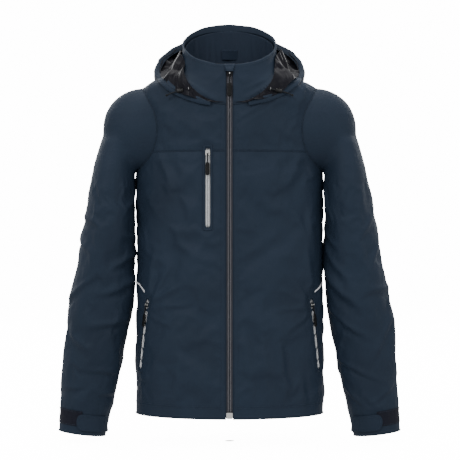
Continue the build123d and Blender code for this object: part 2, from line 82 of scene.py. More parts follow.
# height, half-width and back line of the body; the front line runs straight
TORSO = [
    (-0.686, 0.201, 0.130), (-0.540, 0.201, 0.125), (-0.400, 0.201, 0.122),
    (-0.250, 0.201, 0.126), (-0.165, 0.202, 0.127), (-0.120, 0.203, 0.124),
    (-0.060, 0.205, 0.108), (-0.020, 0.204, 0.092), (0.010, 0.188, 0.084),
    (0.026, 0.158, 0.080), (0.048, 0.100, 0.076),
]
FRONT_LINE = ((-0.686, -0.124), (0.051, -0.092))
SHOULDER = Vector((0.184, 0.0, -0.078))
BARREL_R = 0.088
SLEEVE = [
    (-0.100, 0.241, 0.034, 0.056), (-0.150, 0.2473, 0.0433, 0.066),
    (-0.190, 0.2509, 0.0471, 0.071), (-0.229, 0.2548, 0.0512, 0.072),
    (-0.315, 0.2628, 0.0592, 0.070), (-0.401, 0.2694, 0.0656, 0.066),
    (-0.487, 0.2789, 0.0680, 0.060), (-0.573, 0.2934, 0.0614, 0.053),
    (-0.659, 0.3060, 0.0550, 0.046),
]
CUFF = (0.317, -0.729, 0.050, 0.041, math.radians(7.0))
COLLAR_BASE = ((-0.0956, -0.031), (0.078, 0.050), 0.103)
COLLAR_TOP = ((-0.092, 0.051), (0.080, 0.159), 0.101)
HOOD_RINGS = [
    (0.011, 0.052, 38.4, 0.160, 0.1416), (0.021, 0.039, 37.0, 0.165, 0.140),
    (0.050, 0.008, 30.0, 0.160, 0.122), (0.084, -0.035, 18.0, 0.142, 0.088),
    (0.112, -0.085, 8.0, 0.112, 0.055), (0.126, -0.135, 2.0, 0.075, 0.028),
    (0.128, -0.160, 0.0, 0.040, 0.012),
]


def smooth_table(rows, column, softness):
    """Dense heights and one column of a level table, with its corners softened."""
    heights = [r[0] for r in rows]
    values = [r[column] for r in rows]
    z = np.linspace(heights[0], heights[-1], 400)
    v = np.interp(z, heights, values)
    half = max(1, int(softness / (z[1] - z[0])))
    kernel = np.hanning(2 * half + 1)
    padded = np.concatenate([2 * v[0] - v[half:0:-1], v, 2 * v[-1] - v[-2:-half - 2:-1]])
    return z, np.convolve(padded, kernel / kernel.sum(), "valid")


TORSO_WIDTH = smooth_table(TORSO, 1, 0.014)
TORSO_BACK = smooth_table(TORSO, 2, 0.020)


def front_y(z):
    (z0, y0), (z1, y1) = FRONT_LINE
    return y0 + (z - z0) / (z1 - z0) * (y1 - y0)


def torso_section(z):
    """Half-width, middle and half-depth of the body at a height."""
    width = float(np.interp(z, *TORSO_WIDTH))
    back = float(np.interp(z, *TORSO_BACK))
    front = front_y(z)
    return width, (front + back) / 2, (back - front) / 2


def torso_at(theta, z, out=0.0):
    """Point on the body; theta 0 is the front, growing towards the wearer's left."""
    width, middle, depth = torso_section(z)
    return Vector(((width + out) * math.sin(theta), middle - (depth + out) * math.cos(theta), z))


def theta_of_x(x, z):
    width, _, _ = torso_section(z)
    return math.asin(max(-1.0, min(1.0, x / width)))


def theta_of_side(z):
    """Angle of the side seam at a height."""
    _, middle, depth = torso_section(z)
    return math.acos(max(-1.0, min(1.0, (middle - SIDE_SEAM_Y) / depth)))


def ring_point(y, z, tilt, half_width, half_length, phi, out=0.0):
    """Point of a tilted oval; phi 0 is its front."""
    t = math.radians(tilt)
    along = -(half_length + out) * math.cos(phi)
    return Vector(((half_width + out) * math.sin(phi), y + along * math.cos(t), z + along * math.sin(t)))


def collar_point(phi, share, out=0.0):
    """Point of the collar's outside; share 0 is its base and 1 its top."""
    points = []
    for front, back, half in (COLLAR_BASE, COLLAR_TOP):
        tilt = math.degrees(math.atan2(back[1] - front[1], back[0] - front[0]))
        length = math.hypot(back[0] - front[0], back[1] - front[1]) / 2
        middle = ((front[0] + back[0]) / 2, (front[1] + back[1]) / 2)
        points.append(ring_point(*middle, tilt, half, length, phi, out))
    return points[0].lerp(points[1], share)


# ---------------------------------------------------------------- mesh helpers
def new_object(name, verts, faces):
    mesh = bpy.data.meshes.new(name)
    mesh.from_pydata([tuple(v) for v in verts], [], faces)
    mesh.update()
    obj = bpy.data.objects.new(name, mesh)
    scene.collection.objects.link(obj)
    return obj


def smooth_shade(obj):
    obj.data.polygons.foreach_set("use_smooth", [True] * len(obj.data.polygons))
    obj.data.update()


def grid_object(name, rows, wrap=False):
    """A sheet through rows of points; wrap joins the last column to the first."""
    count = len(rows[0])
    verts = [p for row in rows for p in row]
    faces = []
    for i in range(len(rows) - 1):
        for j in range(count if wrap else count - 1):
            k = (j + 1) % count
            faces.append((i * count + j, i * count + k, (i + 1) * count + k, (i + 1) * count + j))
    obj = new_object(name, verts, faces)
    smooth_shade(obj)
    return obj


def apply_modifiers(obj):
    """Bakes obj's modifiers into its mesh."""
    graph = bpy.context.evaluated_depsgraph_get()
    mesh = bpy.data.meshes.new_from_object(obj.evaluated_get(graph), depsgraph=graph)
    obj.modifiers.clear()
    old = obj.data
    obj.data = mesh
    mesh.name = old.name
    bpy.data.meshes.remove(old)
    return obj


def subdivide(obj, levels=1):
    mod = obj.modifiers.new("subdivide", "SUBSURF")
    mod.levels = levels
    mod.render_levels = levels
    mod.boundary_smooth = "PRESERVE_CORNERS"
    return apply_modifiers(obj)


def thicken(obj, thickness, offset=-1.0):
    mod = obj.modifiers.new("thick", "SOLIDIFY")
    mod.thickness = thickness
    mod.offset = offset
    return apply_modifiers(obj)


def discard(*objects):
    for obj in objects:
        bpy.data.objects.remove(obj, do_unlink=True)


def outward(obj, middle):
    """Turns the faces of an open sheet so that they face away from a vertical axis."""
    mesh = obj.data
    score = 0.0
    for poly in mesh.polygons:
        away = poly.center - Vector((middle[0], middle[1], poly.center.z))
        score += away.dot(poly.normal) * poly.area
    if score < 0:
        mesh.flip_normals()
    return obj


def coordinates(obj):
    co = np.zeros(len(obj.data.vertices) * 3)
    obj.data.vertices.foreach_get("co", co)
    return co.reshape(-1, 3)


def normals(obj):
    n = np.zeros(len(obj.data.vertices) * 3)
    obj.data.vertices.foreach_get("normal", n)
    return n.reshape(-1, 3)


def place(obj, co):
    obj.data.vertices.foreach_set("co", np.asarray(co, float).reshape(-1))
    obj.data.update()


def push(obj, relief):
    """Moves every vertex along its normal by relief(point)."""
    co = coordinates(obj)
    out = normals(obj)
    place(obj, [p + n * relief(Vector(p)) for p, n in zip(co, out)])


SINK_LIMIT = 0.0012


def drape(obj, hold, growth, limit):
    """Short cloth simulation in which the cloth grows a little and buckles into folds.

    hold gives each vertex's grip, from 0 to 1. No vertex ends further than limit away, or
    sinks more than SINK_LIMIT towards the lining behind it.
    """
    before = coordinates(obj)
    group = obj.vertex_groups.new(name="hold")
    for index, weight in enumerate(hold):
        group.add([index], float(weight), "REPLACE")
    mod = obj.modifiers.new("cloth", "CLOTH")
    cloth = mod.settings
    cloth.quality = 4
    cloth.mass = 0.15
    cloth.tension_stiffness = 30
    cloth.compression_stiffness = 12
    cloth.shear_stiffness = 8
    cloth.bending_stiffness = 0.6
    cloth.vertex_group_mass = "hold"
    cloth.pin_stiffness = 1.0
    cloth.shrink_min = -growth
    cloth.use_pressure = False
    cloth.effector_weights.gravity = 0.0
    mod.collision_settings.use_collision = False
    mod.collision_settings.use_self_collision = False
    mod.point_cache.frame_start = 1
    mod.point_cache.frame_end = 20
    for number in range(1, 21):
        scene.frame_set(number)
    graph = bpy.context.evaluated_depsgraph_get()
    after = coordinates_of_mesh(obj.evaluated_get(graph).data)
    obj.modifiers.clear()
    obj.vertex_groups.clear()
    scene.frame_set(1)
    step = after - before
    far = np.linalg.norm(step, axis=1, keepdims=True)
    capped = step * (limit * np.tanh(far / limit) / np.maximum(far, 1e-9))
    step = capped * (1 - np.asarray(hold)[:, None] ** 2)
    out = normals(obj)
    deep = np.minimum(0.0, (step * out).sum(axis=1, keepdims=True) + SINK_LIMIT)
    place(obj, before + step - out * deep)


def coordinates_of_mesh(mesh):
    co = np.zeros(len(mesh.vertices) * 3)
    mesh.vertices.foreach_get("co", co)
    return co.reshape(-1, 3)


def ramp(value, low, high):
    """0 below low, 1 above high, and smooth between."""
    t = max(0.0, min(1.0, (value - low) / (high - low)))
    return t * t * (3 - 2 * t)


def crease(p, a, b, width):
    """1 along the line from a to b, fading to 0 across width and at its ends."""
    ax, az = b[0] - a[0], b[1] - a[1]
    length = math.hypot(ax, az)
    px, pz = p[0] - a[0], p[1] - a[1]
    along = (px * ax + pz * az) / length
    across = (px * az - pz * ax) / length
    inside = ramp(along, -0.25 * length, 0.2 * length) * (1 - ramp(along, 0.7 * length, 1.2 * length))
    return inside * math.exp(-((across / width) ** 2))


def tube(name, points, radius, sides=8, caps=True):
    """A round bar along a list of points."""
    verts, faces = [], []
    count = len(points)
    previous = Vector((0.3, 0.5, 0.8))
    for i, p in enumerate(points):
        ahead = (points[min(i + 1, count - 1)] - points[max(i - 1, 0)]).normalized()
        side = (previous - ahead * previous.dot(ahead)).normalized()
        previous = side
        up = ahead.cross(side)
        r = radius(i / (count - 1)) if callable(radius) else radius
        for k in range(sides):
            angle = 2 * math.pi * k / sides
            verts.append(p + (side * math.cos(angle) + up * math.sin(angle)) * r)
    for i in range(count - 1):
        for k in range(sides):
            m = (k + 1) % sides
            faces.append((i * sides + k, i * sides + m, (i + 1) * sides + m, (i + 1) * sides + k))
    if caps:
        faces.append(tuple(range(sides))[::-1])
        faces.append(tuple((count - 1) * sides + k for k in range(sides)))
    obj = new_object(name, verts, faces)
    smooth_shade(obj)
    return obj


def resample(points, step):
    """The same line with its points a step apart."""
    run = np.array([tuple(p) for p in points])
    length = np.concatenate([[0], np.cumsum(np.linalg.norm(np.diff(run, axis=0), axis=1))])
    at = np.linspace(0, length[-1], max(2, int(length[-1] / step) + 1))
    return [Vector([np.interp(s, length, run[:, k]) for k in range(3)]) for s in at]


STITCH_LENGTH = 0.0030
STITCH_GAP = 0.0013
STITCH_RADIUS = 0.00042


def stitches(name, lines, out_of, radius=STITCH_RADIUS):
    """Rows of separate stitches along lines; out_of(point) gives the way out of the cloth."""
    verts, faces = [], []
    for line in lines:
        points = resample(line, STITCH_LENGTH + STITCH_GAP)
        for a, b in zip(points, points[1:]):
            ahead = (b - a).normalized()
            out = out_of(a)
            out = (out - ahead * out.dot(ahead)).normalized()
            side = ahead.cross(out)
            start = len(verts)
            span = STITCH_LENGTH
            for along, grow, lift in ((0, 0.35, -0.3), (0.22, 1, 0.75), (0.78, 1, 0.75), (1, 0.35, -0.3)):
                centre = a + ahead * span * along + out * radius * lift
                for k in range(5):
                    angle = 2 * math.pi * k / 5
                    verts.append(centre + (side * math.cos(angle) + out * math.sin(angle)) * radius * grow)
            for i in range(3):
                for k in range(5):
                    m = (k + 1) % 5
                    base = start + i * 5
                    faces.append((base + k, base + m, base + 5 + m, base + 5 + k))
            faces.append(tuple(start + k for k in range(5))[::-1])
            faces.append(tuple(start + 15 + k for k in range(5)))
    obj = new_object(name, verts, faces)
    smooth_shade(obj)
    return obj


def loft_object(name, rings):
    """A closed solid through rings of points, with flat ends."""
    count = len(rings[0])
    obj = grid_object(name, rings, wrap=True)
    work = bmesh.new()
    work.from_mesh(obj.data)
    work.verts.ensure_lookup_table()
    work.faces.new([work.verts[k] for k in range(count)][::-1])
    work.faces.new([work.verts[(len(rings) - 1) * count + k] for k in range(count)])
    bmesh.ops.recalc_face_normals(work, faces=work.faces)
    work.to_mesh(obj.data)
    work.free()
    return obj


# ---------------------------------------------------------------- materials
def srgb(r, g, b):
    def linear(c):
        c = c / 255
        return c / 12.92 if c < 0.04045 else ((c + 0.055) / 1.055) ** 2.4
    return (linear(r), linear(g), linear(b), 1.0)


class Nodes:
    """A material's node tree, with short names for the few nodes used here."""

    def __init__(self, name):
        self.material = bpy.data.materials.new(name)
        self.material.use_nodes = True
        self.tree = self.material.node_tree
        self.shader = self.tree.nodes["Principled BSDF"]
        self.where = self.tree.nodes.new("ShaderNodeTexCoord").outputs["Object"]

    def add(self, kind, **values):
        node = self.tree.nodes.new(kind)
        for key, value in values.items():
            if hasattr(node, key):
                setattr(node, key, value)
            else:
                node.inputs[key.replace("_", " ")].default_value = value
        return node

    def link(self, a, b):
        self.tree.links.new(a, b)

    def noise(self, scale, detail=3.0, roughness=0.55):
        node = self.add("ShaderNodeTexNoise", Scale=scale, Detail=detail, Roughness=roughness)
        self.link(self.where, node.inputs["Vector"])
        return node.outputs["Fac"]

    def bands(self, scale, direction, distortion=0.6):
        node = self.add("ShaderNodeTexWave", Scale=scale, Distortion=distortion)
        node.bands_direction = direction
        node.inputs["Detail"].default_value = 1.0
        self.link(self.where, node.inputs["Vector"])
        return node.outputs["Fac"]

    def math(self, operation, a, b):
        node = self.add("ShaderNodeMath", operation=operation)
        for socket, value in zip(node.inputs, (a, b)):
            if isinstance(value, (int, float)):
                socket.default_value = value
            else:
                self.link(value, socket)
        return node.outputs[0]

    def ramp(self, fac, stops):
        node = self.add("ShaderNodeValToRGB")
        elements = node.color_ramp.elements
        while len(elements) < len(stops):
            elements.new(0.5)
        for element, (at, colour) in zip(elements, stops):
            element.position = at
            element.color = colour
        self.link(fac, node.inputs["Fac"])
        return node.outputs["Color"]

    def spread(self, fac, low, high):
        node = self.add("ShaderNodeMapRange")
        node.inputs["To Min"].default_value = low
        node.inputs["To Max"].default_value = high
        self.link(fac, node.inputs["Value"])
        return node.outputs["Result"]

    def bump(self, height, strength, distance, under=None):
        node = self.add("ShaderNodeBump", Strength=strength, Distance=distance)
        self.link(height, node.inputs["Height"])
        if under is not None:
            self.link(under, node.inputs["Normal"])
        return node.outputs["Normal"]


def shade(colour, factor):
    return (colour[0] * factor, colour[1] * factor, colour[2] * factor, 1.0)


def fabric(name, colour, weave, rough, sheen, weave_depth=0.00025, contrast=0.16, slub=0.0006, specular=0.16):
    """Woven cloth: two crossing thread directions, uneven threads and slow colour drift."""
    n = Nodes(name)
    across = n.math("MULTIPLY", n.bands(weave, "X"), n.bands(weave, "Z"))
    depth = n.bands(weave, "Y")
    threads = n.math("ADD", across, n.math("MULTIPLY", depth, 0.5))
    drift = n.noise(9.0, 4.0)
    speckle = n.noise(900.0, 2.0)
    tone = n.math("ADD", n.math("MULTIPLY", drift, 0.6), n.math("MULTIPLY", speckle, 0.4))
    low, high = shade(colour, 1 - contrast), shade(colour, 1 + contrast)
    n.link(n.ramp(tone, [(0.3, low), (0.7, high)]), n.shader.inputs["Base Color"])
    n.link(n.spread(tone, rough - 0.07, rough + 0.07), n.shader.inputs["Roughness"])
    soft = n.bump(n.noise(55.0, 4.0), 0.35, slub)
    n.link(n.bump(threads, 0.5, weave_depth, soft), n.shader.inputs["Normal"])
    n.shader.inputs["Sheen Weight"].default_value = sheen
    n.shader.inputs["Sheen Roughness"].default_value = 0.45
    n.shader.inputs["Sheen Tint"].default_value = shade(colour, 5.0)
    n.shader.inputs["Specular IOR Level"].default_value = specular
    return n.material


def metal(name, colour, rough):
    """Cast and tumbled zip metal with fine scratches."""
    n = Nodes(name)
    wear = n.noise(700.0, 4.0)
    n.link(n.ramp(wear, [(0.3, shade(colour, 0.8)), (0.7, colour)]), n.shader.inputs["Base Color"])
    n.link(n.spread(wear, rough - 0.08, rough + 0.12), n.shader.inputs["Roughness"])
    n.link(n.bump(n.noise(2500.0, 2.0), 0.2, 0.0001), n.shader.inputs["Normal"])
    n.shader.inputs["Metallic"].default_value = 1.0
    return n.material


def plastic(name, colour, rough, grain=1800.0, coat=0.0, specular=0.5):
    """Moulded plastic or rubber with a fine grain."""
    n = Nodes(name)
    tone = n.noise(300.0, 3.0)
    n.link(
        n.ramp(tone, [(0.3, shade(colour, 0.85)), (0.7, shade(colour, 1.2))]), n.shader.inputs["Base Color"]
    )
    n.link(n.spread(tone, rough - 0.06, rough + 0.06), n.shader.inputs["Roughness"])
    n.link(n.bump(n.noise(grain, 2.0), 0.3, 0.0001), n.shader.inputs["Normal"])
    n.shader.inputs["Coat Weight"].default_value = coat
    n.shader.inputs["Specular IOR Level"].default_value = specular
    return n.material


def napped(name, colour):
    """Loop tape: a dense nap of small matt loops."""
    n = Nodes(name)
    cell = n.add("ShaderNodeTexVoronoi", Scale=900.0)
    n.link(n.where, cell.inputs["Vector"])
    tone = n.math("ADD", cell.outputs["Distance"], n.math("MULTIPLY", n.noise(260.0, 3.0), 0.8))
    n.link(
        n.ramp(tone, [(0.2, shade(colour, 0.55)), (0.9, shade(colour, 1.7))]), n.shader.inputs["Base Color"]
    )
    n.link(n.bump(tone, 0.9, 0.0006), n.shader.inputs["Normal"])
    n.shader.inputs["Roughness"].default_value = 0.95
    n.shader.inputs["Sheen Weight"].default_value = 0.04
    n.shader.inputs["Specular IOR Level"].default_value = 0.06
    return n.material


NAVY = srgb(27, 37, 50)
MATERIALS = {
    "shell": fabric("shell_cloth", NAVY, 210.0, 0.62, 0.06, specular=0.11),
    "seam": fabric("seam_cloth", shade(NAVY, 0.9), 260.0, 0.7, 0.05),
    "thread": fabric("thread", shade(NAVY, 1.35), 900.0, 0.55, 0.1),
    "collar_lining": fabric("collar_lining_cloth", srgb(27, 36, 49), 240.0, 0.7, 0.10, specular=0.11),
    # The hood lining's colour is partly its own dark grey and partly painted shade: it is darkened further to
    # stand in for the shadow in the hollow of the hood.
    "hood_lining": fabric(
        "hood_lining_cloth", srgb(15, 15, 21), 240.0, 0.36, 0.02, 0.00012, 0.25, 0.0005, 0.08
    ),
    "mesh": fabric("lining_mesh", srgb(27, 32, 40), 330.0, 0.8, 0.15, 0.0006),
    "main_tape": fabric("main_zip_tape", srgb(60, 60, 66), 520.0, 0.7, 0.1),
    "light_tape": fabric("light_zip_tape", srgb(150, 152, 154), 520.0, 0.6, 0.1),
    "trim": fabric("reflective_trim", srgb(208, 209, 212), 640.0, 0.32, 0.0, 0.0001, 0.08, 0.0001),
    "patch": napped("loop_patch", srgb(18, 19, 26)),
    "cord": fabric("elastic_cord", srgb(20, 22, 25), 700.0, 0.65, 0.2, 0.0004),
    "webbing": fabric("hanger_webbing", srgb(24, 27, 33), 480.0, 0.75, 0.1, 0.0005),
    "label": fabric("label_cloth", srgb(25, 34, 47), 600.0, 0.7, 0.03, specular=0.08),
    "coil": plastic("main_zip_coil", srgb(90, 90, 96), 0.34, coat=0.2),
    "light_coil": plastic("light_zip_coil", srgb(226, 228, 230), 0.34, coat=0.2),
    "pull": plastic("moulded_pull", srgb(10, 11, 12), 0.5, specular=0.15),
    "lock": plastic("lock_plastic", srgb(9, 9, 11), 0.40, coat=0.05, specular=0.2),
    "metal": metal("zip_metal", srgb(205, 205, 202), 0.22),
    "dark_metal": metal("dark_zip_metal", srgb(38, 38, 41), 0.38),
    "eyelet": metal("eyelet_metal", srgb(110, 110, 112), 0.35),
}


def dress(obj, material, body=None):
    """Gives a piece its material and slot, and lets it ride on a body."""
    obj.data.materials.clear()
    obj.data.materials.append(MATERIALS[material])
    if body:
        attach(obj, body)
    return obj


def dress_node(node, material):
    """Gives a CAD node that stays in view its material and rounded edges."""
    obj = frame["nodes"][node]
    obj.data.materials.clear()
    obj.data.materials.append(MATERIALS[material])
    mod = obj.modifiers.new("round", "BEVEL")
    mod.width = 0.00045
    mod.segments = 2
    mod.limit_method = "ANGLE"
    return obj


# ---------------------------------------------------------------- camera, light, floor
camera_data = bpy.data.cameras.new("camera")
camera_data.sensor_width = 36.0
camera_data.lens = 116.45
camera_data.clip_end = 60.0
camera = bpy.data.objects.new("camera", camera_data)
scene.collection.objects.link(camera)
camera.location = (0.001, -3.2, -0.294)
camera.rotation_euler = (math.radians(90), 0, 0)
scene.camera = camera


def area_light(name, place_at, target, size, power):
    data = bpy.data.lights.new(name, "AREA")
    data.shape = "RECTANGLE"
    data.size, data.size_y = size
    data.energy = power
    lamp = bpy.data.objects.new(name, data)
    scene.collection.objects.link(lamp)
    lamp.location = place_at
    lamp.rotation_euler = (Vector(target) - Vector(place_at)).to_track_quat("-Z", "Y").to_euler()


area_light("key", (-2.3, -3.4, 2.4), (0, 0, -0.25), (1.6, 1.6), 103)
area_light("fill", (2.9, -3.0, 1.2), (0, 0, -0.35), (2.0, 2.0), 50)
area_light("top", (0, 0.3, 3.0), (0, 0, -0.2), (2.6, 2.6), 76)
area_light("back_left", (-2.4, 3.2, 1.6), (0, 0, -0.3), (1.8, 1.8), 60)
area_light("back_right", (2.6, 3.0, 1.6), (0, 0, -0.3), (1.8, 1.8), 50)

world = bpy.data.worlds.new("studio")
world.use_nodes = True
world.node_tree.nodes["Background"].inputs["Color"].default_value = (1.0, 1.0, 1.0, 1)
world.node_tree.nodes["Background"].inputs["Strength"].default_value = 1.0
scene.world = world


def studio_floor():
    """Round pale floor that curves up into a low wall far behind the object."""
    rings = []
    for r, z in ((0.01, 0), (2.0, 0), (5.5, 0), (6.4, 0.12), (7.1, 0.5), (7.6, 1.2), (7.8, 2.2)):
        level = cad_box[0][2] - 0.012 + z
        rings.append(
            [Vector((r * math.cos(a), r * math.sin(a), level)) for a in np.linspace(0, 2 * math.pi, 65)[:-1]]
        )
    floor = grid_object("studio_floor", rings, wrap=True)
    outward(floor, (0, 0))
    floor.data.flip_normals()
    n = Nodes("studio_floor")
    n.link(
        n.ramp(n.noise(3.0), [(0.3, (0.93, 0.93, 0.93, 1)), (0.7, (0.95, 0.95, 0.95, 1))]),
        n.shader.inputs["Base Color"],
    )
    n.shader.inputs["Roughness"].default_value = 0.95
    n.shader.inputs["Emission Color"].default_value = (1.0, 1.0, 1.0, 1)
    n.shader.inputs["Emission Strength"].default_value = 14.0
    floor.data.materials.append(n.material)
    # The floor shows white, but neither lights the cloth nor mirrors in it.
    floor.visible_diffuse = False
    floor.visible_glossy = False


studio_floor()


# ---------------------------------------------------------------- where shapes meet
def body_shape(p):
    """Over 0 outside the body's outline and under 0 inside it."""
    width, middle, depth = torso_section(min(max(p[2], HEM_Z), 0.060))
    return math.hypot(p[0] / width, (p[1] - middle) / depth) - 1


def body_gap(p):
    """Rough distance from the body's surface and the way out of it."""
    h = 0.0015
    f = body_shape(p)
    slope = Vector([
        (body_shape((p[0] + h, p[1], p[2])) - f) / h,
        (body_shape((p[0], p[1] + h, p[2])) - f) / h,
        (body_shape((p[0], p[1], p[2] + h)) - f) / h,
    ])
    return f / max(slope.length, 1e-6), slope.normalized()


def push_out(p, gap):
    """p, or the near place that clears the body by gap."""
    p = Vector(p)
    for _ in range(5):
        if p.z > 0.062:
            return p
        distance, out = body_gap(p)
        if distance > gap:
            return p
        p = p + out * (gap - distance) * 0.9
    return p


def in_barrel(p, grow=0.0):
    """True inside the round shoulder that a sleeve turns on."""
    rho = math.hypot(abs(p[0]) - SHOULDER.x, p[2] - SHOULDER.z)
    return (rho / (BARREL_R + grow)) ** 2 + (abs(p[1]) / (0.066 + grow)) ** 2.4 < 1


def collar_place(p):
    """How far up the collar p is, from 0 to 1, and how far out, where 1 is its wall."""
    low, high = -0.6, 1.6
    for _ in range(22):
        s = (low + high) / 2
        fy, fz = (COLLAR_BASE[0][k] + s * (COLLAR_TOP[0][k] - COLLAR_BASE[0][k]) for k in (0, 1))
        by, bz = (COLLAR_BASE[1][k] + s * (COLLAR_TOP[1][k] - COLLAR_BASE[1][k]) for k in (0, 1))
        if (by - fy) * (p[2] - fz) - (bz - fz) * (p[1] - fy) > 0:
            low = s
        else:
            high = s
    length2 = (by - fy) ** 2 + (bz - fz) ** 2
    t = ((p[1] - fy) * (by - fy) + (p[2] - fz) * (bz - fz)) / length2
    half = COLLAR_BASE[2] + s * (COLLAR_TOP[2] - COLLAR_BASE[2])
    return s, math.hypot((t - 0.5) / 0.5, p[0] / half)


NECK_CENTRE_Y = -0.010
NECK_SEAM = (
    # degrees from the front, height
    (0, -0.0310), (15, -0.0302), (25, -0.0272), (34, -0.0190), (42, -0.0080), (52, 0.0150),
    (62, 0.0330), (79, 0.0452), (92, 0.0476), (130, 0.0484), (180, 0.0486),
)


def neck_seam_height(angle):
    """Height of the neck seam at an angle from the front, in degrees."""
    return float(np.interp(abs(angle), [row[0] for row in NECK_SEAM], [row[1] for row in NECK_SEAM]))


def neck_angle(p):
    return math.degrees(math.atan2(p[0], NECK_CENTRE_Y - p[1]))


def neck_seam_point(angle):
    """Place of the neck seam on the body at an angle from the front, in degrees."""
    z = sum(
        neck_seam_height(angle + k) for k in (-6, -3, 0, 3, 6)
    ) / 5 if abs(angle) > 8 else neck_seam_height(angle)
    width, middle, depth = torso_section(z)
    t = math.radians(angle)
    low, high = 0.03, 0.22
    for _ in range(30):
        r = (low + high) / 2
        x, y = r * math.sin(t), NECK_CENTRE_Y - r * math.cos(t)
        if math.hypot(x / width, (y - middle) / depth) < 1:
            low = r
        else:
            high = r
    return Vector((x, y, z))


NECK_TABLE = [(a, neck_seam_point(a)) for a in np.linspace(-180, 180, 361)]


def neck_height_at(p):
    return float(np.interp(neck_angle(p), [row[0] for row in NECK_TABLE], [row[1].z for row in NECK_TABLE]))


def trim(obj, inside):
    """Cuts away what lies inside, with the cut edge on the boundary."""
    work = bmesh.new()
    work.from_mesh(obj.data)
    hidden = {v for v in work.verts if inside(v.co)}
    moved = {}
    for v in hidden:
        meets = []
        for edge in v.link_edges:
            other = edge.other_vert(v)
            if other in hidden:
                continue
            a, b = v.co.copy(), other.co.copy()
            for _ in range(9):
                middle = (a + b) / 2
                if inside(middle):
                    a = middle
                else:
                    b = middle
            meets.append(b)
        if meets:
            moved[v] = sum(meets, Vector()) / len(meets)
    gone = [f for f in work.faces if all(v in hidden for v in f.verts)]
    bmesh.ops.delete(work, geom=gone, context="FACES")
    for v, co in moved.items():
        if v.is_valid:
            v.co = co
    bmesh.ops.delete(work, geom=[v for v in work.verts if not v.link_faces], context="VERTS")
    work.to_mesh(obj.data)
    work.free()
    obj.data.update()
    return obj


def tree_of(*objects):
    """Search tree over the surfaces of several objects."""
    verts, faces = [], []
    for obj in objects:
        start = len(verts)
        verts += [v.co.copy() for v in obj.data.vertices]
        faces += [tuple(start + k for k in poly.vertices) for poly in obj.data.polygons]
    return BVHTree.FromPolygons(verts, faces)


def lay_on(tree, points, lift):
    """Points moved to the nearest cloth and lifted off it."""
    laid = []
    for p in points:
        place_at, normal, _, _ = tree.find_nearest(p)
        laid.append(place_at + normal * lift)
    return laid


JOINTS = {joint["name"]: joint for joint in frame["joints"]}


class Zip:
    """Local directions of one zip; x across, y up along it and z out of the jacket."""

    def __init__(self, name, scale, coils):
        self.scale = scale
        self.up = -Vector(JOINTS[name + "_zip_slide"]["axis"])
        self.across = -Vector(JOINTS[name + "_pull_lift"]["axis"])
        self.out = self.across.cross(self.up).normalized()
        self.pin = Vector(JOINTS[name + "_pull_lift"]["pos_m"])
        self.zero = self.pin - self.out * (0.0034 * scale + 0.0004)
        self.top = (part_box(coils)[1].z - self.zero.z) / self.up.z
        self.bottom = (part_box(coils)[0].z - self.zero.z) / self.up.z

    def at(self, x, y, z=0.0):
        return self.zero + self.across * x + self.up * y + self.out * z

    def local(self, p):
        d = Vector(p) - self.zero
        return d.dot(self.across), d.dot(self.up), d.dot(self.out)

    def near(self, p, half, end):
        x, y, z = self.local(p)
        return abs(x) < half and self.bottom - end < y < self.top + end and abs(z) < 0.03


MAIN_ZIP = Zip("main", 1.2, "main_coil_right")
CHEST_ZIP = Zip("chest", 1.0, "chest_zip_coils")
HAND_ZIPS = {name: Zip(name + "_pocket", 1.0, name + "_pocket_zip_coils") for _, name in SIDES}
POCKET_ZIPS = [CHEST_ZIP, *HAND_ZIPS.values()]
SLOT_HALF = 0.0053
SLOT_END = 0.0045

# ---------------------------------------------------------------- folds of the body
FOLDS = [
    # front, each as (x, z) to (x, z), width and height
    ((0.022, -0.060), (0.074, -0.024), 0.0055, 0.0032),
    ((0.030, -0.072), (0.064, -0.050), 0.0045, 0.0016),
    ((-0.166, -0.446), (-0.105, -0.412), 0.0060, 0.0042),
    ((-0.165, -0.458), (-0.090, -0.452), 0.0050, 0.0034),
    ((-0.160, -0.436), (-0.128, -0.372), 0.0055, 0.0034),
    ((-0.170, -0.428), (-0.160, -0.345), 0.0060, 0.0030),
    ((-0.164, -0.476), (-0.112, -0.500), 0.0050, 0.0026),
    ((0.166, -0.446), (0.110, -0.420), 0.0060, 0.0042),
    ((0.165, -0.458), (0.092, -0.464), 0.0050, 0.0034),
    ((0.160, -0.436), (0.122, -0.385), 0.0055, 0.0032),
    ((0.172, -0.428), (0.158, -0.338), 0.0065, 0.0034),
    ((0.164, -0.476), (0.118, -0.508), 0.0050, 0.0026),
    ((0.030, -0.500), (0.046, -0.655), 0.0090, 0.0042),
    ((0.060, -0.470), (0.078, -0.640), 0.0100, 0.0036),
    ((0.104, -0.540), (0.116, -0.660), 0.0100, 0.0030),
    ((0.150, -0.600), (0.156, -0.668), 0.0070, 0.0028),
    ((-0.040, -0.540), (-0.052, -0.655), 0.0090, 0.0026),
    ((-0.105, -0.560), (-0.110, -0.662), 0.0100, 0.0026),
    ((-0.150, -0.130), (-0.120, -0.205), 0.0100, 0.0026),
    ((0.150, -0.130), (0.118, -0.215), 0.0100, 0.0028),
    ((-0.100, -0.330), (-0.020, -0.372), 0.0110, 0.0020),
    ((0.100, -0.300), (0.022, -0.356), 0.0110, 0.0022),
]
BACK_FOLDS = [
    ((-0.150, -0.110), (-0.105, -0.250), 0.0110, 0.0040),
    ((0.150, -0.110), (0.100, -0.260), 0.0110, 0.0040),
    ((-0.060, -0.300), (-0.085, -0.520), 0.0130, 0.0040),
    ((0.035, -0.330), (0.055, -0.560), 0.0130, 0.0038),
    ((0.130, -0.420), (0.090, -0.620), 0.0120, 0.0038),
    ((-0.140, -0.440), (-0.120, -0.640), 0.0120, 0.0036),
    ((-0.160, -0.380), (-0.060, -0.440), 0.0090, 0.0032),
    ((0.165, -0.390), (0.070, -0.430), 0.0090, 0.0032),
    ((-0.010, -0.180), (0.010, -0.330), 0.0120, 0.0026),
]


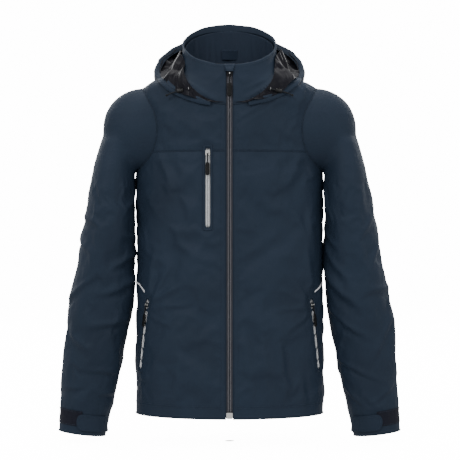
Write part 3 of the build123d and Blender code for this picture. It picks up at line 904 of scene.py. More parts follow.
def body_calm(p):
    """1 where the cloth is free, down to 0 where a seam, hem or zip holds it."""
    free = min(ramp(p.z - HEM_Z, 0.004, 0.050), 1.0)
    free *= ramp(abs(p.z - YOKE_Z), 0.0, 0.018) * 0.75 + 0.25
    if p.y < 0.04:
        free *= ramp(abs(p.x), 0.007, 0.026)
    free *= ramp(abs(p.y - SIDE_SEAM_Y), 0.0, 0.016) * 0.75 + 0.25
    for chain in POCKET_ZIPS:
        x, y, z = chain.local(p)
        if abs(z) < 0.03:
            beyond = max(0.0, chain.bottom - y, y - chain.top)
            free *= ramp(math.hypot(x, beyond), 0.008, 0.022)
    rho = math.hypot(abs(p.x) - SHOULDER.x, p.z - SHOULDER.z)
    reach = (rho / BARREL_R) ** 2 + (abs(p.y) / 0.066) ** 2.4
    if abs(p.x) > 0.12:
        free *= ramp(math.sqrt(reach), 1.0, 1.25)
    if p.z > -0.09:
        free *= ramp(neck_height_at(p) - p.z, 0.001, 0.022)
    return free


def body_relief(p):
    """Height of the folds at a point of the body."""
    total = 0.0
    flat = (p.x, p.z)
    for a, b, width, height in FOLDS if p.y < SIDE_SEAM_Y else BACK_FOLDS:
        c = crease(flat, a, b, width)
        total += height * (
            c
            - 0.55 * crease(
                flat,
                (a[0] + 1.7 * width, a[1] - 0.6 * width),
                (b[0] + 1.7 * width, b[1] - 0.6 * width),
                width,
            )
        )
    slow = noise.noise(Vector((p.x * 9, p.y * 9 + 3, p.z * 4)))
    total += 0.0042 * slow
    mid = noise.noise(Vector((p.x * 26 + 7, p.y * 22, p.z * 13)))
    total += 0.0016 * mid
    total += 0.0007 * (1 - 2 * abs(noise.noise(Vector((p.x * 60, p.y * 50 + 9, p.z * 34)))))
    return total * body_calm(p)


# ---------------------------------------------------------------- body cloth
FRONT_COLUMNS, BACK_COLUMNS = 48, 78


def body_heights(low, high, below, above):
    """Row heights: even up to the yoke seam, then even along the slope of the shoulder."""
    lower = np.linspace(low, YOKE_Z, below)
    z = np.linspace(YOKE_Z, high, 400)
    w = np.interp(z, *TORSO_WIDTH)
    run = np.concatenate([[0], np.cumsum(np.hypot(np.diff(z), np.diff(w)))])
    return np.concatenate([lower, np.interp(np.linspace(0, run[-1], above)[1:], run, z)])


def body_rows(low, high, below, above, edge_x, out, fronts, backs):
    rows = []
    for z in body_heights(low, high, below, above):
        edge, seam = theta_of_x(edge_x, z), theta_of_side(z)
        left = np.linspace(edge, seam, fronts + 1)
        back = np.linspace(seam, 2 * math.pi - seam, backs + 1)
        right = np.linspace(2 * math.pi - seam, 2 * math.pi - edge, fronts + 1)
        rows.append([torso_at(a, z, out) for a in (*left, *back[1:], *right[1:])])
    return rows


PANELS = ("left_front", "back_panel", "right_front", "left_front_yoke", "back_yoke", "right_front_yoke")


def make_body():
    """One continuous cloth for the whole body, folded and then parted along its seams."""
    rows = body_rows(HEM_Z, 0.058, 92, 44, FRONT_EDGE, 0.0, FRONT_COLUMNS, BACK_COLUMNS)
    cloth = grid_object("body", rows)
    columns = 2 * FRONT_COLUMNS + BACK_COLUMNS
    for index, poly in enumerate(cloth.data.polygons):
        i, j = divmod(index, columns)
        part = 0 if j < FRONT_COLUMNS else 1 if j < FRONT_COLUMNS + BACK_COLUMNS else 2
        poly.material_index = part + (3 if i >= 91 else 0)
    for name in PANELS:
        cloth.data.materials.append(MATERIALS["shell"])
    outward(cloth, (0, 0.01))
    push(cloth, body_relief)
    hold = [1 - 0.95 * body_calm(v.co) for v in cloth.data.vertices]
    drape(cloth, hold, 0.022, 0.006)
    for chain in POCKET_ZIPS:
        trim(cloth, lambda p, c=chain: c.near(p, SLOT_HALF, SLOT_END))
    trim(cloth, lambda p: in_barrel(p, -0.0045))

    def under_collar(p):
        return p.z > -0.04 and math.hypot(
            p.x, p.y - NECK_CENTRE_Y
        ) < 0.16 and p.z > neck_height_at(p) + 0.0006

    trim(cloth, under_collar)
    panels = {}
    for index, name in enumerate(PANELS):
        mesh = cloth.data.copy()
        work = bmesh.new()
        work.from_mesh(mesh)
        other = [f for f in work.faces if f.material_index != index]
        bmesh.ops.delete(work, geom=other, context="FACES")
        for f in work.faces:
            f.material_index = 0
        work.to_mesh(mesh)
        work.free()
        panel = bpy.data.objects.new(name + "_cloth", mesh)
        scene.collection.objects.link(panel)
        subdivide(panel)
        panels[name] = panel
    discard(cloth)
    return panels


panels = make_body()
body_tree = tree_of(*panels.values())
for name, panel in panels.items():
    thicken(panel, CLOTH)
    smooth_shade(panel)
    dress(panel, "shell", "torso")
    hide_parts(name)


def out_of(tree):
    return lambda p: tree.find_nearest(p)[1]


def seam_line(name, points, tree, body, radius=0.0010, rows=(0.0035,), across=None):
    """A seam roll with rows of stitches beside it; across gives the way to the rows."""
    roll = tube(name + "_roll", lay_on(tree, resample(points, 0.005), -0.0002), radius, 6)
    dress(roll, "seam", body)
    lines = []
    for offset in rows:
        moved = [p + across(p) * offset for p in resample(points, 0.006)]
        lines.append(lay_on(tree, moved, 0.0001))
    if lines:
        dress(stitches(name + "_stitches", lines, out_of(tree)), "thread", body)


def body_line(z, low, high, steps=90):
    return [torso_at(a, z) for a in np.linspace(low, high, steps)]


def body_seams():
    edge, seam = theta_of_x(FRONT_EDGE, YOKE_Z), theta_of_side(YOKE_Z)
    up = Vector((0, 0, 1))
    runs = (
        ("left_front_yoke", edge, 1.12),
        ("back_yoke", 2 * math.pi - 4.0, 4.0),
        ("right_front_yoke", 2 * math.pi - 1.12, 2 * math.pi - edge),
    )
    for name, low, high in runs:
        seam_line(name, body_line(YOKE_Z, low, high), body_tree, "torso", rows=(0.0032,), across=lambda p: up)
    for side, name in SIDES:
        points = []
        for z in np.linspace(HEM_Z + 0.002, -0.166, 120):
            angle = theta_of_side(z)
            points.append(torso_at(side * angle, z))
        forward = Vector((0, -1, 0))
        seam_line(name + "_side_seam", points, body_tree, "torso", rows=(0.0035,), across=lambda p: forward)
    hem = []
    for z in (HEM_Z + 0.026, HEM_Z + 0.0225):
        start = theta_of_x(FRONT_EDGE + 0.006, z)
        hem.append(lay_on(body_tree, body_line(z, start, 2 * math.pi - start, 260), 0.0001))
    dress(stitches("hem_stitches", hem, out_of(body_tree)), "thread", "torso")
    start = theta_of_x(FRONT_EDGE, HEM_Z)
    edge_roll = [p + Vector((0, 0, 0.0006)) for p in body_line(HEM_Z, start, 2 * math.pi - start, 240)]
    dress(tube("hem_edge", edge_roll, 0.0014, 8), "shell", "torso")
    for side, name in SIDES:
        lines = []
        for x in (0.0035, 0.0105):
            points = [
                MAIN_ZIP.at(side * (FRONT_EDGE + x), y)
                for y in np.linspace(MAIN_ZIP.bottom + 0.002, MAIN_ZIP.top - 0.085, 180)
            ]
            lines.append(lay_on(body_tree, points, 0.0001))
        dress(stitches(name + "_placket_stitches", lines, out_of(body_tree)), "thread", "torso")
        edge_points = [
            MAIN_ZIP.at(side * FRONT_EDGE, y, -0.0002)
            for y in np.linspace(MAIN_ZIP.bottom - 0.012, MAIN_ZIP.top - 0.078, 150)
        ]
        dress(tube(name + "_placket_edge", edge_points, 0.0010, 8), "seam", "torso")


body_seams()


def armhole_curve(side, grow=0.0):
    """Where the shoulder's round part comes out of the body."""
    points = []
    for a in np.linspace(0, 2 * math.pi, 97):
        low, high = 0.01, 0.14
        for _ in range(26):
            t = (low + high) / 2
            y, z = t * math.cos(a), SHOULDER.z + t * math.sin(a)
            width, middle, depth = torso_section(min(z, 0.060))
            x = width * math.sqrt(max(0.0, 1 - ((y - middle) / depth) ** 2))
            if in_barrel((x, y, z), grow):
                low = t
            else:
                high = t
        points.append(Vector((side * x, y, z)))
    return points


for side, name in SIDES:
    curve = armhole_curve(side)
    roll = tube(name + "_armhole_roll", [p + body_gap(p)[1] * 0.0002 for p in curve], 0.0011, 6, caps=False)
    dress(roll, "seam", "torso")
    middle = Vector((side * 0.205, 0, SHOULDER.z))
    rows = []
    for offset in (0.0035,):
        moved = [
            p + ((p - middle) - (p - middle).project(body_gap(p)[1])).normalized() * offset for p in curve
        ]
        rows.append(lay_on(body_tree, moved, 0.0001))
    dress(stitches(name + "_armhole_stitches", rows, out_of(body_tree)), "thread", "torso")


# ---------------------------------------------------------------- sleeves
def arm_section(z, grow=0.0):
    """Centre x, half-width and half-depth of the sleeve at a height."""
    levels = [row[0] for row in SLEEVE] + [CUFF[1]]
    values = []
    for k, last in ((1, CUFF[0]), (2, CUFF[2]), (3, CUFF[3])):
        column = [row[k] for row in SLEEVE] + [last]
        values.append(float(np.interp(-z, [-v for v in levels], column)))
    return values[0], values[1] + grow, values[2] + grow


def arm_at(side, angle, z, out=0.0):
    """Point round the sleeve; angle 0 faces forward and 90 degrees away from the body."""
    x, a, b = arm_section(z, out)
    tilt = math.tan(CUFF[4]) * ramp(-z, 0.640, 0.729)
    px = x + a * math.sin(angle)
    return Vector((side * px, -b * math.cos(angle), z + tilt * (px - x)))


ARM_FOLDS = [
    # (angle, z) to (angle, z) in degrees and metres, width and height
    ((78, -0.250), (20, -0.290), 0.0080, 0.0040),
    ((95, -0.290), (40, -0.345), 0.0080, 0.0036),
    ((-85, -0.330), (-20, -0.380), 0.0080, 0.0042),
    ((-80, -0.385), (-5, -0.440), 0.0090, 0.0048),
    ((-95, -0.300), (-40, -0.315), 0.0070, 0.0032),
    ((80, -0.430), (20, -0.405), 0.0080, 0.0034),
    ((-70, -0.470), (10, -0.510), 0.0080, 0.0036),
    ((60, -0.500), (5, -0.560), 0.0080, 0.0030),
    ((-60, -0.585), (20, -0.600), 0.0060, 0.0030),
    ((75, -0.620), (10, -0.640), 0.0050, 0.0026),
    ((-80, -0.630), (-25, -0.655), 0.0050, 0.0030),
    ((-90, -0.200), (-50, -0.260), 0.0080, 0.0030),
    ((120, -0.360), (175, -0.400), 0.0090, 0.0040),
    ((240, -0.340), (185, -0.395), 0.0090, 0.0044),
    ((130, -0.460), (200, -0.500), 0.0090, 0.0036),
    ((110, -0.560), (190, -0.600), 0.0080, 0.0032),
]


def arm_angle(side, p):
    x, a, b = arm_section(p.z)
    return math.degrees(math.atan2((side * p.x - x) / a, -p.y / b))


def arm_calm(p):
    rho = math.hypot(abs(p.x) - SHOULDER.x, p.z - SHOULDER.z)
    reach = math.sqrt((rho / BARREL_R) ** 2 + (abs(p.y) / 0.066) ** 2.4)
    seam = ramp(abs(p.x), 0.205, 0.262) if p.z > -0.2 else ramp(abs(p.x), 0.175, 0.215)
    below = ramp(-p.z, 0.145, 0.215)
    free = max(below, 0.35 * seam)
    return free * ramp(p.z - CUFF[1], 0.006, 0.070) * (1.0 if reach < 3 else 1.0)


def arm_relief(side):
    twist = 0.0 if side < 0 else 11.0

    def relief(p):
        angle, z = arm_angle(side, p), p.z
        total = 0.0
        for a, b, width, height in ARM_FOLDS:
            shift = 0.012 * side
            reach = 0.058
            point = (math.radians(angle) * reach, z)
            for turn in (0, 360, -360):
                start = (math.radians(a[0] + turn) * reach, a[1] + shift)
                end = (math.radians(b[0] + turn) * reach, b[1] - shift)
                c = crease(point, start, end, width)
                if c > 0.001:
                    total += height * (
                        c - 0.5 * crease((point[0], point[1] + 1.6 * width), start, end, width)
                    )
        total += 0.0034 * noise.noise(Vector((p.x * 14 + twist, p.y * 13, p.z * 9)))
        total += 0.0018 * noise.noise(Vector((p.x * 30, p.y * 28 + twist, p.z * 30 + p.x * 14)))
        total += 0.0006 * (1 - 2 * abs(noise.noise(Vector((p.x * 70, p.y * 60 + 9, p.z * 44)))))
        return total * arm_calm(p)

    return relief


def make_sleeve(side, name):
    """Round shoulder and tube joined into one cloth, open at the armhole and the cuff."""
    rings = []
    for y in np.linspace(-0.0659, 0.0659, 49):
        r = BARREL_R * math.sqrt(max(0.0, 1 - (abs(y) / 0.066) ** 2.4))
        rings.append([
            Vector((side * SHOULDER.x + r * math.cos(t), y, SHOULDER.z + r * math.sin(t)))
            for t in np.linspace(0, 2 * math.pi, 73)[:-1]
        ])
    barrel = loft_object(name + "_barrel", rings)
    heights = [-0.100, -0.125, *np.linspace(-0.150, CUFF[1] - 0.012, 60)]
    rings = [[arm_at(side, t, z) for t in np.linspace(0, 2 * math.pi, 65)[:-1]] for z in heights]
    arm = loft_object(name + "_tube", rings)
    mod = barrel.modifiers.new("join", "BOOLEAN")
    mod.operation = "UNION"
    mod.solver = "EXACT"
    mod.object = arm
    apply_modifiers(barrel)
    discard(arm)
    mod = barrel.modifiers.new("even", "REMESH")
    mod.mode = "VOXEL"
    mod.voxel_size = 0.0055
    apply_modifiers(barrel)
    work = bmesh.new()
    work.from_mesh(barrel.data)
    joint = [v for v in work.verts if -0.24 < v.co.z < -0.05 and not in_barrel(v.co, -0.002)]
    for _ in range(8):
        bmesh.ops.smooth_vert(
            work, verts=joint, factor=0.5, use_axis_x=True, use_axis_y=True, use_axis_z=True
        )
    everything = work.verts[:] + work.edges[:] + work.faces[:]
    bmesh.ops.bisect_plane(
        work, geom=everything, plane_co=(side * 0.150, 0, 0), plane_no=(-side, 0, 0), clear_outer=True
    )
    everything = work.verts[:] + work.edges[:] + work.faces[:]
    t = CUFF[4] * side
    bmesh.ops.bisect_plane(
        work,
        geom=everything,
        plane_co=(side * CUFF[0], 0, CUFF[1]),
        plane_no=(math.sin(t), 0, -math.cos(t)),
        clear_outer=True,
    )
    work.to_mesh(barrel.data)
    work.free()
    push(barrel, arm_relief(side))
    hold = [1 - 0.96 * arm_calm(v.co) for v in barrel.data.vertices]
    drape(barrel, hold, 0.030, 0.007)
    barrel.name = name + "_sleeve_cloth"
    barrel.data.name = barrel.name
    subdivide(barrel)
    return barrel


sleeves, sleeve_trees = {}, {}
for side, name in SIDES:
    sleeve = make_sleeve(side, name)
    sleeve_trees[name] = tree_of(sleeve)
    thicken(sleeve, CLOTH)
    smooth_shade(sleeve)
    dress(sleeve, "shell", name + "_sleeve")
    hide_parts(name + "_sleeve")
    sleeves[name] = sleeve
    rows = []
    for z in np.linspace(-0.175, CUFF[1] + 0.032, 40):
        rows.append([arm_at(side, t, z, -0.0090) for t in np.linspace(0, 2 * math.pi, 49)[:-1]])
    lining = grid_object(name + "_sleeve_lining_cloth", rows, wrap=True)
    outward(lining, (side * 0.27, 0))
    push(lining, lambda p: 0.0016 * noise.noise(Vector((p.x * 40, p.y * 40, p.z * 22))))
    subdivide(lining)
    thicken(lining, 0.0006)
    smooth_shade(lining)
    dress(lining, "mesh", name + "_sleeve")
    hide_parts(name + "_sleeve_lining")


def underarm(side, name):
    """Cloth under the arm that feeds out of the body as the sleeve lifts."""
    rows = []
    for a in np.linspace(math.radians(-112), math.radians(-88), 40):
        row = []
        for y in np.linspace(-0.062, 0.062, 40):
            r = BARREL_R * math.sqrt(1 - (abs(y) / 0.066) ** 2.4) - 0.0022
            row.append(Vector((side * (SHOULDER.x + r * math.cos(a)), y, SHOULDER.z + r * math.sin(a))))
        rows.append(row)
    gusset = grid_object(name + "_underarm_gusset", rows)
    smooth_shade(gusset)
    dress(gusset, "shell")
    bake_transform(gusset)


for side, name in SIDES:
    underarm(side, name)


# ---------------------------------------------------------------- cuffs
def cuff_line(side, name, up, lift, low=0.0, high=2 * math.pi, steps=120):
    points = [arm_at(side, t, CUFF[1] + up) for t in np.linspace(low, high, steps)]
    return lay_on(sleeve_trees[name], points, lift)


def band_on_cuff(side, name, low_x, high_x, low_z, high_z, lift, rounded=0.0, columns=30, rows_count=16):
    """A strip that follows the front of the cuff between two x and two heights."""
    rows = []
    tree = sleeve_trees[name]
    for i in range(rows_count + 1):
        v = i / rows_count
        z = low_z + (high_z - low_z) * v
        row = []
        for j in range(columns + 1):
            u = j / columns
            end = high_x
            if rounded:
                end = high_x - rounded * (1 - math.sqrt(max(0.0, 1 - (2 * v - 1) ** 2)))
            x = low_x + (end - low_x) * u
            cx, a, b = arm_section(z)
            s = max(-1.0, min(1.0, (x - cx) / a))
            tilt = math.tan(CUFF[4]) * (x - cx)
            p = Vector((side * x, -b * math.sqrt(1 - s * s), z + tilt))
            place_at, normal, _, _ = tree.find_nearest(p)
            row.append(place_at + normal * lift)
        rows.append(row)
    return rows


for side, name in SIDES:
    rows = band_on_cuff(side, name, 0.3125, 0.3655, -0.7115, -0.6795, 0.0008)
    patch = grid_object(name + "_cuff_patch_cloth", rows)
    outward(patch, (side * 0.30, 0.0))
    thicken(patch, 0.0007, 1.0)
    dress(patch, "patch", name + "_sleeve")
    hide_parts(name + "_cuff_patch")
    edge = [rows[0], [r[-1] for r in rows], rows[-1][::-1], [r[0] for r in rows][::-1]]
    inset = []
    for line in band_on_cuff(side, name, 0.3145, 0.3635, -0.7095, -0.6815, 0.0014)[::16]:
        inset.append(line)
    dress(
        stitches(name + "_cuff_patch_stitches", inset, out_of(sleeve_trees[name])), "thread", name + "_sleeve"
    )

    rows = band_on_cuff(side, name, 0.2640, 0.3235, -0.7195, -0.6865, 0.0022, rounded=0.011)
    tab = grid_object(name + "_cuff_tab_cloth", rows)
    outward(tab, (side * 0.30, 0.0))
    push(tab, lambda p: 0.0005 * noise.noise(Vector((p.x * 90, p.y * 60, p.z * 90))))
    subdivide(tab)
    thicken(tab, 0.0018, 1.0)
    smooth_shade(tab)
    dress(tab, "shell", name + "_cuff_tab")
    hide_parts(name + "_cuff_tab")
    rim = rows[0] + [r[-1] for r in rows[1:]] + rows[-1][::-1][1:]
    dress(tube(name + "_cuff_tab_edge", resample(rim, 0.002), 0.0011, 8), "shell", name + "_cuff_tab")
    inner = band_on_cuff(side, name, 0.2665, 0.3200, -0.7168, -0.6892, 0.0041, rounded=0.0095)
    lines = [inner[0], inner[-1], [r[-1] for r in inner], [r[1] for r in inner], [r[6] for r in inner]]
    dress(
        stitches(name + "_cuff_tab_stitches", lines, out_of(sleeve_trees[name])), "thread", name + "_cuff_tab"
    )

    lines = [cuff_line(side, name, 0.0185, 0.0001), cuff_line(side, name, 0.0215, 0.0001)]
    dress(stitches(name + "_cuff_stitches", lines, out_of(sleeve_trees[name])), "thread", name + "_sleeve")
    edge_line = [arm_at(side, t, CUFF[1] + 0.0004, -0.0003) for t in np.linspace(0, 2 * math.pi, 100)]
    dress(tube(name + "_cuff_edge", edge_line, 0.0013, 8, caps=False), "shell", name + "_sleeve")
    under = [arm_at(side, math.radians(-93), z) for z in np.linspace(-0.190, CUFF[1] + 0.004, 110)]
    backward = Vector((0, 1, 0))
    seam_line(
        name + "_sleeve_seam",
        under,
        sleeve_trees[name],
        name + "_sleeve",
        rows=(0.0032,),
        across=lambda p: backward,
    )


# ---------------------------------------------------------------- collar
COLLAR_FRONT_EDGE = 0.0068
COLLAR_PROFILE = [(s, 0.0) for s in np.linspace(0.0, 0.975, 26)]
COLLAR_PROFILE += [
    (0.995, 0.0003),
    (1.008, 0.0012),
    (1.011, 0.0023),
    (1.005, 0.0033),
    (0.985, 0.0038),
    (0.950, 0.0040),
    (0.900, 0.0041),
    (0.860, 0.0042),
]


def collar_angles(share, edge_x, steps):
    half = COLLAR_BASE[2] + share * (COLLAR_TOP[2] - COLLAR_BASE[2])
    start = math.asin(edge_x / half)
    return np.linspace(start, 2 * math.pi - start, steps)


def collar_relief(p):
    front = ramp(-p.y, 0.0, 0.06)
    total = 0.0016 * noise.noise(Vector((p.x * 22, p.y * 22 + 5, p.z * 30)))
    total += 0.0007 * noise.noise(Vector((p.x * 60, p.y * 60, p.z * 80)))
    for a, b, width, height in (
        ((-0.085, 0.012), (-0.030, -0.020), 0.0050, 0.0022), (
            (-0.070, -0.004), (-0.020, -0.028), 0.0035, 0.0012
        ),
        ((0.085, 0.010), (0.034, -0.018), 0.0050, 0.0022), ((0.075, 0.022), (0.040, 0.004), 0.0040, 0.0013),
        ((0.012, 0.036), (0.030, 0.012), 0.0035, 0.0012), ((-0.012, 0.036), (-0.034, 0.014), 0.0035, 0.0012),
    ):
        total += front * height * crease((p.x, p.z), a, b, width)
    return total * ramp(abs(p.x), 0.007, 0.018)


def collar_seam_share(angle):
    """Share of the collar's height at which the neck seam lies."""
    return float(np.interp(abs(angle), (0, 30, 60, 90, 180), (0.0, 0.04, 0.30, 0.47, 0.0)))


def collar_wall(phi, share, out):
    """Collar point, drawn out at the bottom so that it meets the neck seam."""
    degrees = math.degrees((phi + math.pi) % (2 * math.pi) - math.pi)
    start = collar_seam_share(degrees)
    base = collar_point(phi, start)
    seam = neck_seam_point(neck_angle(base)) - base
    level = start + (1 - start) * max(share, 0.0) if share < 1 else share
    return collar_point(phi, level, -out) + seam * max(0.0, 1 - share) ** 2.4


rows = [
    [collar_wall(a, s, out) for a in collar_angles(s, COLLAR_FRONT_EDGE, 131)] for s, out in COLLAR_PROFILE
]
collar = grid_object("collar_outer_cloth", rows)
wall_face = collar.data.polygons[60 + 130 * 5]
if (wall_face.center - Vector((0, -0.01, wall_face.center.z))).dot(wall_face.normal) < 0:
    collar.data.flip_normals()
push(collar, collar_relief)
subdivide(collar)
collar_tree = tree_of(collar)
thicken(collar, 0.0009)
smooth_shade(collar)
dress(collar, "shell", "torso")
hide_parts("collar_outer")


def lining_wrinkle(p):
    """Vertical wrinkles of the collar lining, deeper towards its base."""
    angle = math.atan2(p.x, -p.y + 0.0)
    depth = 0.0
    for k, (at_angle, width, height) in enumerate((
        (2.15, 0.050, 3.2), (2.40, 0.035, 2.0), (2.62, 0.045, 1.5), (2.90, 0.050, 2.4), (-2.95, 0.045, 1.6),
        (-2.70, 0.040, 2.6), (-2.48, 0.050, 1.8), (-2.20, 0.045, 3.4),
        (-1.95, 0.040, 1.8), (1.90, 0.040, 1.6),
        (1.60, 0.045, 1.2), (-1.62, 0.045, 1.4), (3.05, 0.030, 1.4),
    )):
        lean = 0.9 * (p.z - 0.07) * (1 if k % 2 else -1)
        d = (angle - at_angle - lean + math.pi) % (2 * math.pi) - math.pi
        depth += height * math.exp(-((d / width) ** 2)) * ramp(0.125 - p.z, -0.04, 0.07)
    return 0.001 * depth + 0.0012 * noise.noise(Vector((p.x * 60, p.y * 60, p.z * 9)))


rows = [
    [collar_point(a, s, -0.0062) for a in collar_angles(s, 0.009, 181)] for s in np.linspace(0.875, 0.0, 30)
]
collar_lining = grid_object("collar_lining_cloth", rows)
outward(collar_lining, (0, -0.01))
push(collar_lining, lambda p: -lining_wrinkle(p))
subdivide(collar_lining)
thicken(collar_lining, 0.0008)
smooth_shade(collar_lining)
dress(collar_lining, "collar_lining", "torso")
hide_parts("collar_lining")

top_rows = []
for s, out in ((0.955, 0.0), (0.93, 0.0)):
    line = [collar_point(a, s, -out) for a in collar_angles(s, 0.016, 160)]
    top_rows.append(lay_on(collar_tree, line, 0.0001))
inner = [collar_point(a, 0.872, -0.0052) for a in collar_angles(0.872, 0.016, 160)]
dress(stitches("collar_top_stitches", top_rows[:1], out_of(collar_tree)), "thread", "torso")
dress(
    stitches("collar_facing_stitches", [inner], lambda p: Vector((-p.x, -p.y - 0.01, 0.0)).normalized()),
    "thread",
    "torso",
)


NECK = [row[1] for row in NECK_TABLE if row[0] >= 0 and (abs(row[1].x) > 0.0066 or row[0] > 90)]
NECK += [row[1] for row in NECK_TABLE if row[0] < 0 and (abs(row[1].x) > 0.0066 or row[0] < -90)]
neck_out = [Vector((p.x, p.y + 0.01, 0)).normalized() for p in NECK]
roll_points = [p + n * 0.0006 for p, n in zip(NECK, neck_out)]
dress(tube("neck_seam_roll", resample(roll_points, 0.004), 0.0012, 8), "seam", "torso")
above = [p + Vector((0, 0, 0.0035)) for p in NECK]
dress(
    stitches("neck_seam_stitches", [lay_on(collar_tree, above, 0.0001)], out_of(collar_tree)),
    "thread",
    "torso",
)


# ---------------------------------------------------------------- hood, lying down
HOOD_FRONT_X = 0.040


def hood_ring(level, phi, inset=0.0):
    """Point of the hood's outline between its rings; level 0 is the rim."""
    i = min(int(level), len(HOOD_RINGS) - 2)
    share = level - i
    y, z, tilt, a, b = (
        HOOD_RINGS[i][k] + share * (HOOD_RINGS[i + 1][k] - HOOD_RINGS[i][k]) for k in range(5)
    )
    return ring_point(y, z, tilt, a - inset, b - inset, phi)


def forward_of_body(p, gap):
    """p moved straight forward until it clears the front of the body."""
    if p.z > 0.046 or p.y > 0.0:
        return p
    width, middle, depth = torso_section(p.z)
    if abs(p.x) >= width + gap:
        return p
    face = middle - (depth + gap) * math.sqrt(1 - (p.x / (width + gap)) ** 2)
    return Vector((p.x, min(p.y, face), p.z))


def hood_cloth_point(level, phi, inset, gap):
    """Point of one hood layer, kept clear of the body in front."""
    rim = hood_ring(0.0, phi, inset)
    seam = neck_seam_point(neck_angle(rim))
    flat = rim.lerp(seam, 0.35 * level / 6)
    p = hood_ring(level, phi, inset).lerp(flat, ramp(-rim.y, -0.03, 0.03))
    front = ramp(-p.y, -0.01, 0.03)
    if front > 0:
        laid = forward_of_body(p, gap)
        p = p.lerp(laid, front)
    return p


HOOD_START = math.asin(HOOD_FRONT_X / 0.160)
HOOD_ANGLES = np.linspace(HOOD_START, 2 * math.pi - HOOD_START, 171)
HOOD_LEVELS = [0.0, 0.25, 0.5, 0.75, *np.linspace(1.0, 6.0, 46)]


def crumple(p, seed, size):
    """Sharp irregular creases, as in thin coated cloth."""
    a = noise.noise(Vector((p.x * 24 + seed, p.y * 24, p.z * 24)))
    b = noise.noise(Vector((p.x * 55, p.y * 55 + seed, p.z * 55)))
    return size * (0.9 * (1 - 2.6 * abs(a)) + 0.5 * (1 - 2.4 * abs(b)))


def hood_hidden(gap):
    """Test for places inside the body, the sleeves' round shoulders or the collar."""
    def inside(p):
        if p.z < 0.056:
            distance, _ = body_gap(p)
            if distance < gap:
                return True
        if in_barrel(p, gap):
            return True
        s, r = collar_place(p)
        return -0.3 < s < 1.2 and r < 1 + gap / 0.1
    return inside


def hood_outer_relief(p):
    away = ramp(p.y, 0.02, 0.08)
    total = 0.0055 * noise.noise(Vector((p.x * 13, p.y * 10, p.z * 10 + 4))) * away
    total += 0.0022 * (1 - 2.2 * abs(noise.noise(Vector((p.x * 30 + 2, p.y * 26, p.z * 22))))) * away
    total += crumple(p, 5.0, 0.0006)
    for x0, lean in ((-0.070, 0.25), (-0.018, -0.15), (0.034, 0.2), (0.088, -0.25)):
        line = x0 + lean * (p.z + 0.05)
        total -= 0.0034 * math.exp(-(((p.x - line) / 0.007) ** 2)) * away * ramp(0.09 - p.z, 0, 0.08)
    return total


def make_hood_layer(name, inset, gap, relief, flip):
    rows = [[hood_cloth_point(level, a, inset, gap) for a in HOOD_ANGLES] for level in HOOD_LEVELS]
    layer = grid_object(name, rows)
    middle = layer.data.polygons[85 + 170 * 8]
    if middle.normal.y * flip < 0:
        layer.data.flip_normals()
    push(layer, relief)
    return layer


hood_outer = make_hood_layer(
    "hood_shell_cloth", 0.0, 0.0042, lambda p: hood_outer_relief(p) * ramp(p.y + 0.5 * abs(p.x), 0.0, 0.05), 1
)
hold = [
    1 - 0.97 * ramp(v.co.y, 0.0, 0.05) * (1 - 0.7 * ramp(v.co.z, 0.06, 0.12))
    for v in hood_outer.data.vertices
]
drape(hood_outer, hold, 0.035, 0.006)
trim(hood_outer, hood_hidden(0.0012))
subdivide(hood_outer)
hood_tree = tree_of(hood_outer)
thicken(hood_outer, 0.0009)
smooth_shade(hood_outer)
dress(hood_outer, "shell")


def lining_relief(p):
    """Deep soft folds and sharp crumples of the shiny lining."""
    angle = math.atan2(p.x, -(p.y - 0.03))
    folds = math.sin(17 * angle + 4 * noise.noise(Vector((p.x * 14, p.y * 14, p.z * 14))))
    total = 0.0028 * folds * ramp(abs(folds), 0.1, 1.0) + 0.0040 * noise.noise(
        Vector((p.x * 24, p.y * 24 + 9, p.z * 20))
    )
    return total + crumple(p, 1.0, 0.0012)


hood_inner = make_hood_layer(
    "hood_lining_cloth", 0.0062, 0.0052, lambda p: -0.8 * lining_relief(p) * ramp(p.y, -0.06, -0.01), 1
)
hold = [1 - 0.96 * ramp(v.co.y, -0.04, 0.02) for v in hood_inner.data.vertices]
drape(hood_inner, hold, 0.05, 0.006)
trim(hood_inner, hood_hidden(0.0030))
trim(hood_inner, lambda p: p.y < -0.02)
subdivide(hood_inner)
thicken(hood_inner, 0.0006)
smooth_shade(hood_inner)
dress(hood_inner, "hood_lining")


def hood_brim():
    """Hem of the hood's opening: rolls over the rim and lies flat on the lining."""
    rows = []
    for k, (inset, drop) in enumerate((
        (-0.0004, 0.30), (-0.0012, 0.16), (-0.0010, 0.05), (0.0, -0.02),
        (0.0014, -0.045), (0.0030, -0.03), (0.0042, 0.03),
        (0.0060, 0.10), (0.0084, 0.18), (0.0108, 0.27), (0.0126, 0.34), (0.0130, 0.36),
    )):
        row = []
        for a in HOOD_ANGLES:
            p = hood_ring(0.0, a, inset)
            below = hood_ring(1.0, a, inset)
            q = p.lerp(below, drop * 0.9) if drop > 0 else p + (p - below) * (-drop * 0.5)
            rim = hood_ring(0.0, a)
            seam = neck_seam_point(neck_angle(rim)) - rim
            flat = rim + seam.normalized() * min(max(inset, -0.001), 0.8 * seam.length)
            q = q.lerp(flat, ramp(-rim.y, -0.03, 0.03))
            gap = 0.0046 + 0.0022 * math.sqrt(max(0.0, 1 - ((inset - 0.0055) / 0.0080) ** 2))
            laid = forward_of_body(q, gap)
            q = q.lerp(laid, ramp(-q.y, -0.01, 0.03))
            row.append(q)
        rows.append(row)
    brim = grid_object("hood_brim", rows)
    if brim.data.polygons[85 + 170 * 4].normal.z < 0:
        brim.data.flip_normals()
    push(
        brim,
        lambda p: 0.0012 * noise.noise(Vector((p.x * 45, p.y * 45, p.z * 45))) + 0.0004 * noise.noise(
            Vector((p.x * 120, p.y * 120, p.z * 120))
        ),
    )
    subdivide(brim)
    thicken(brim, 0.0009)
    smooth_shade(brim)
    return brim


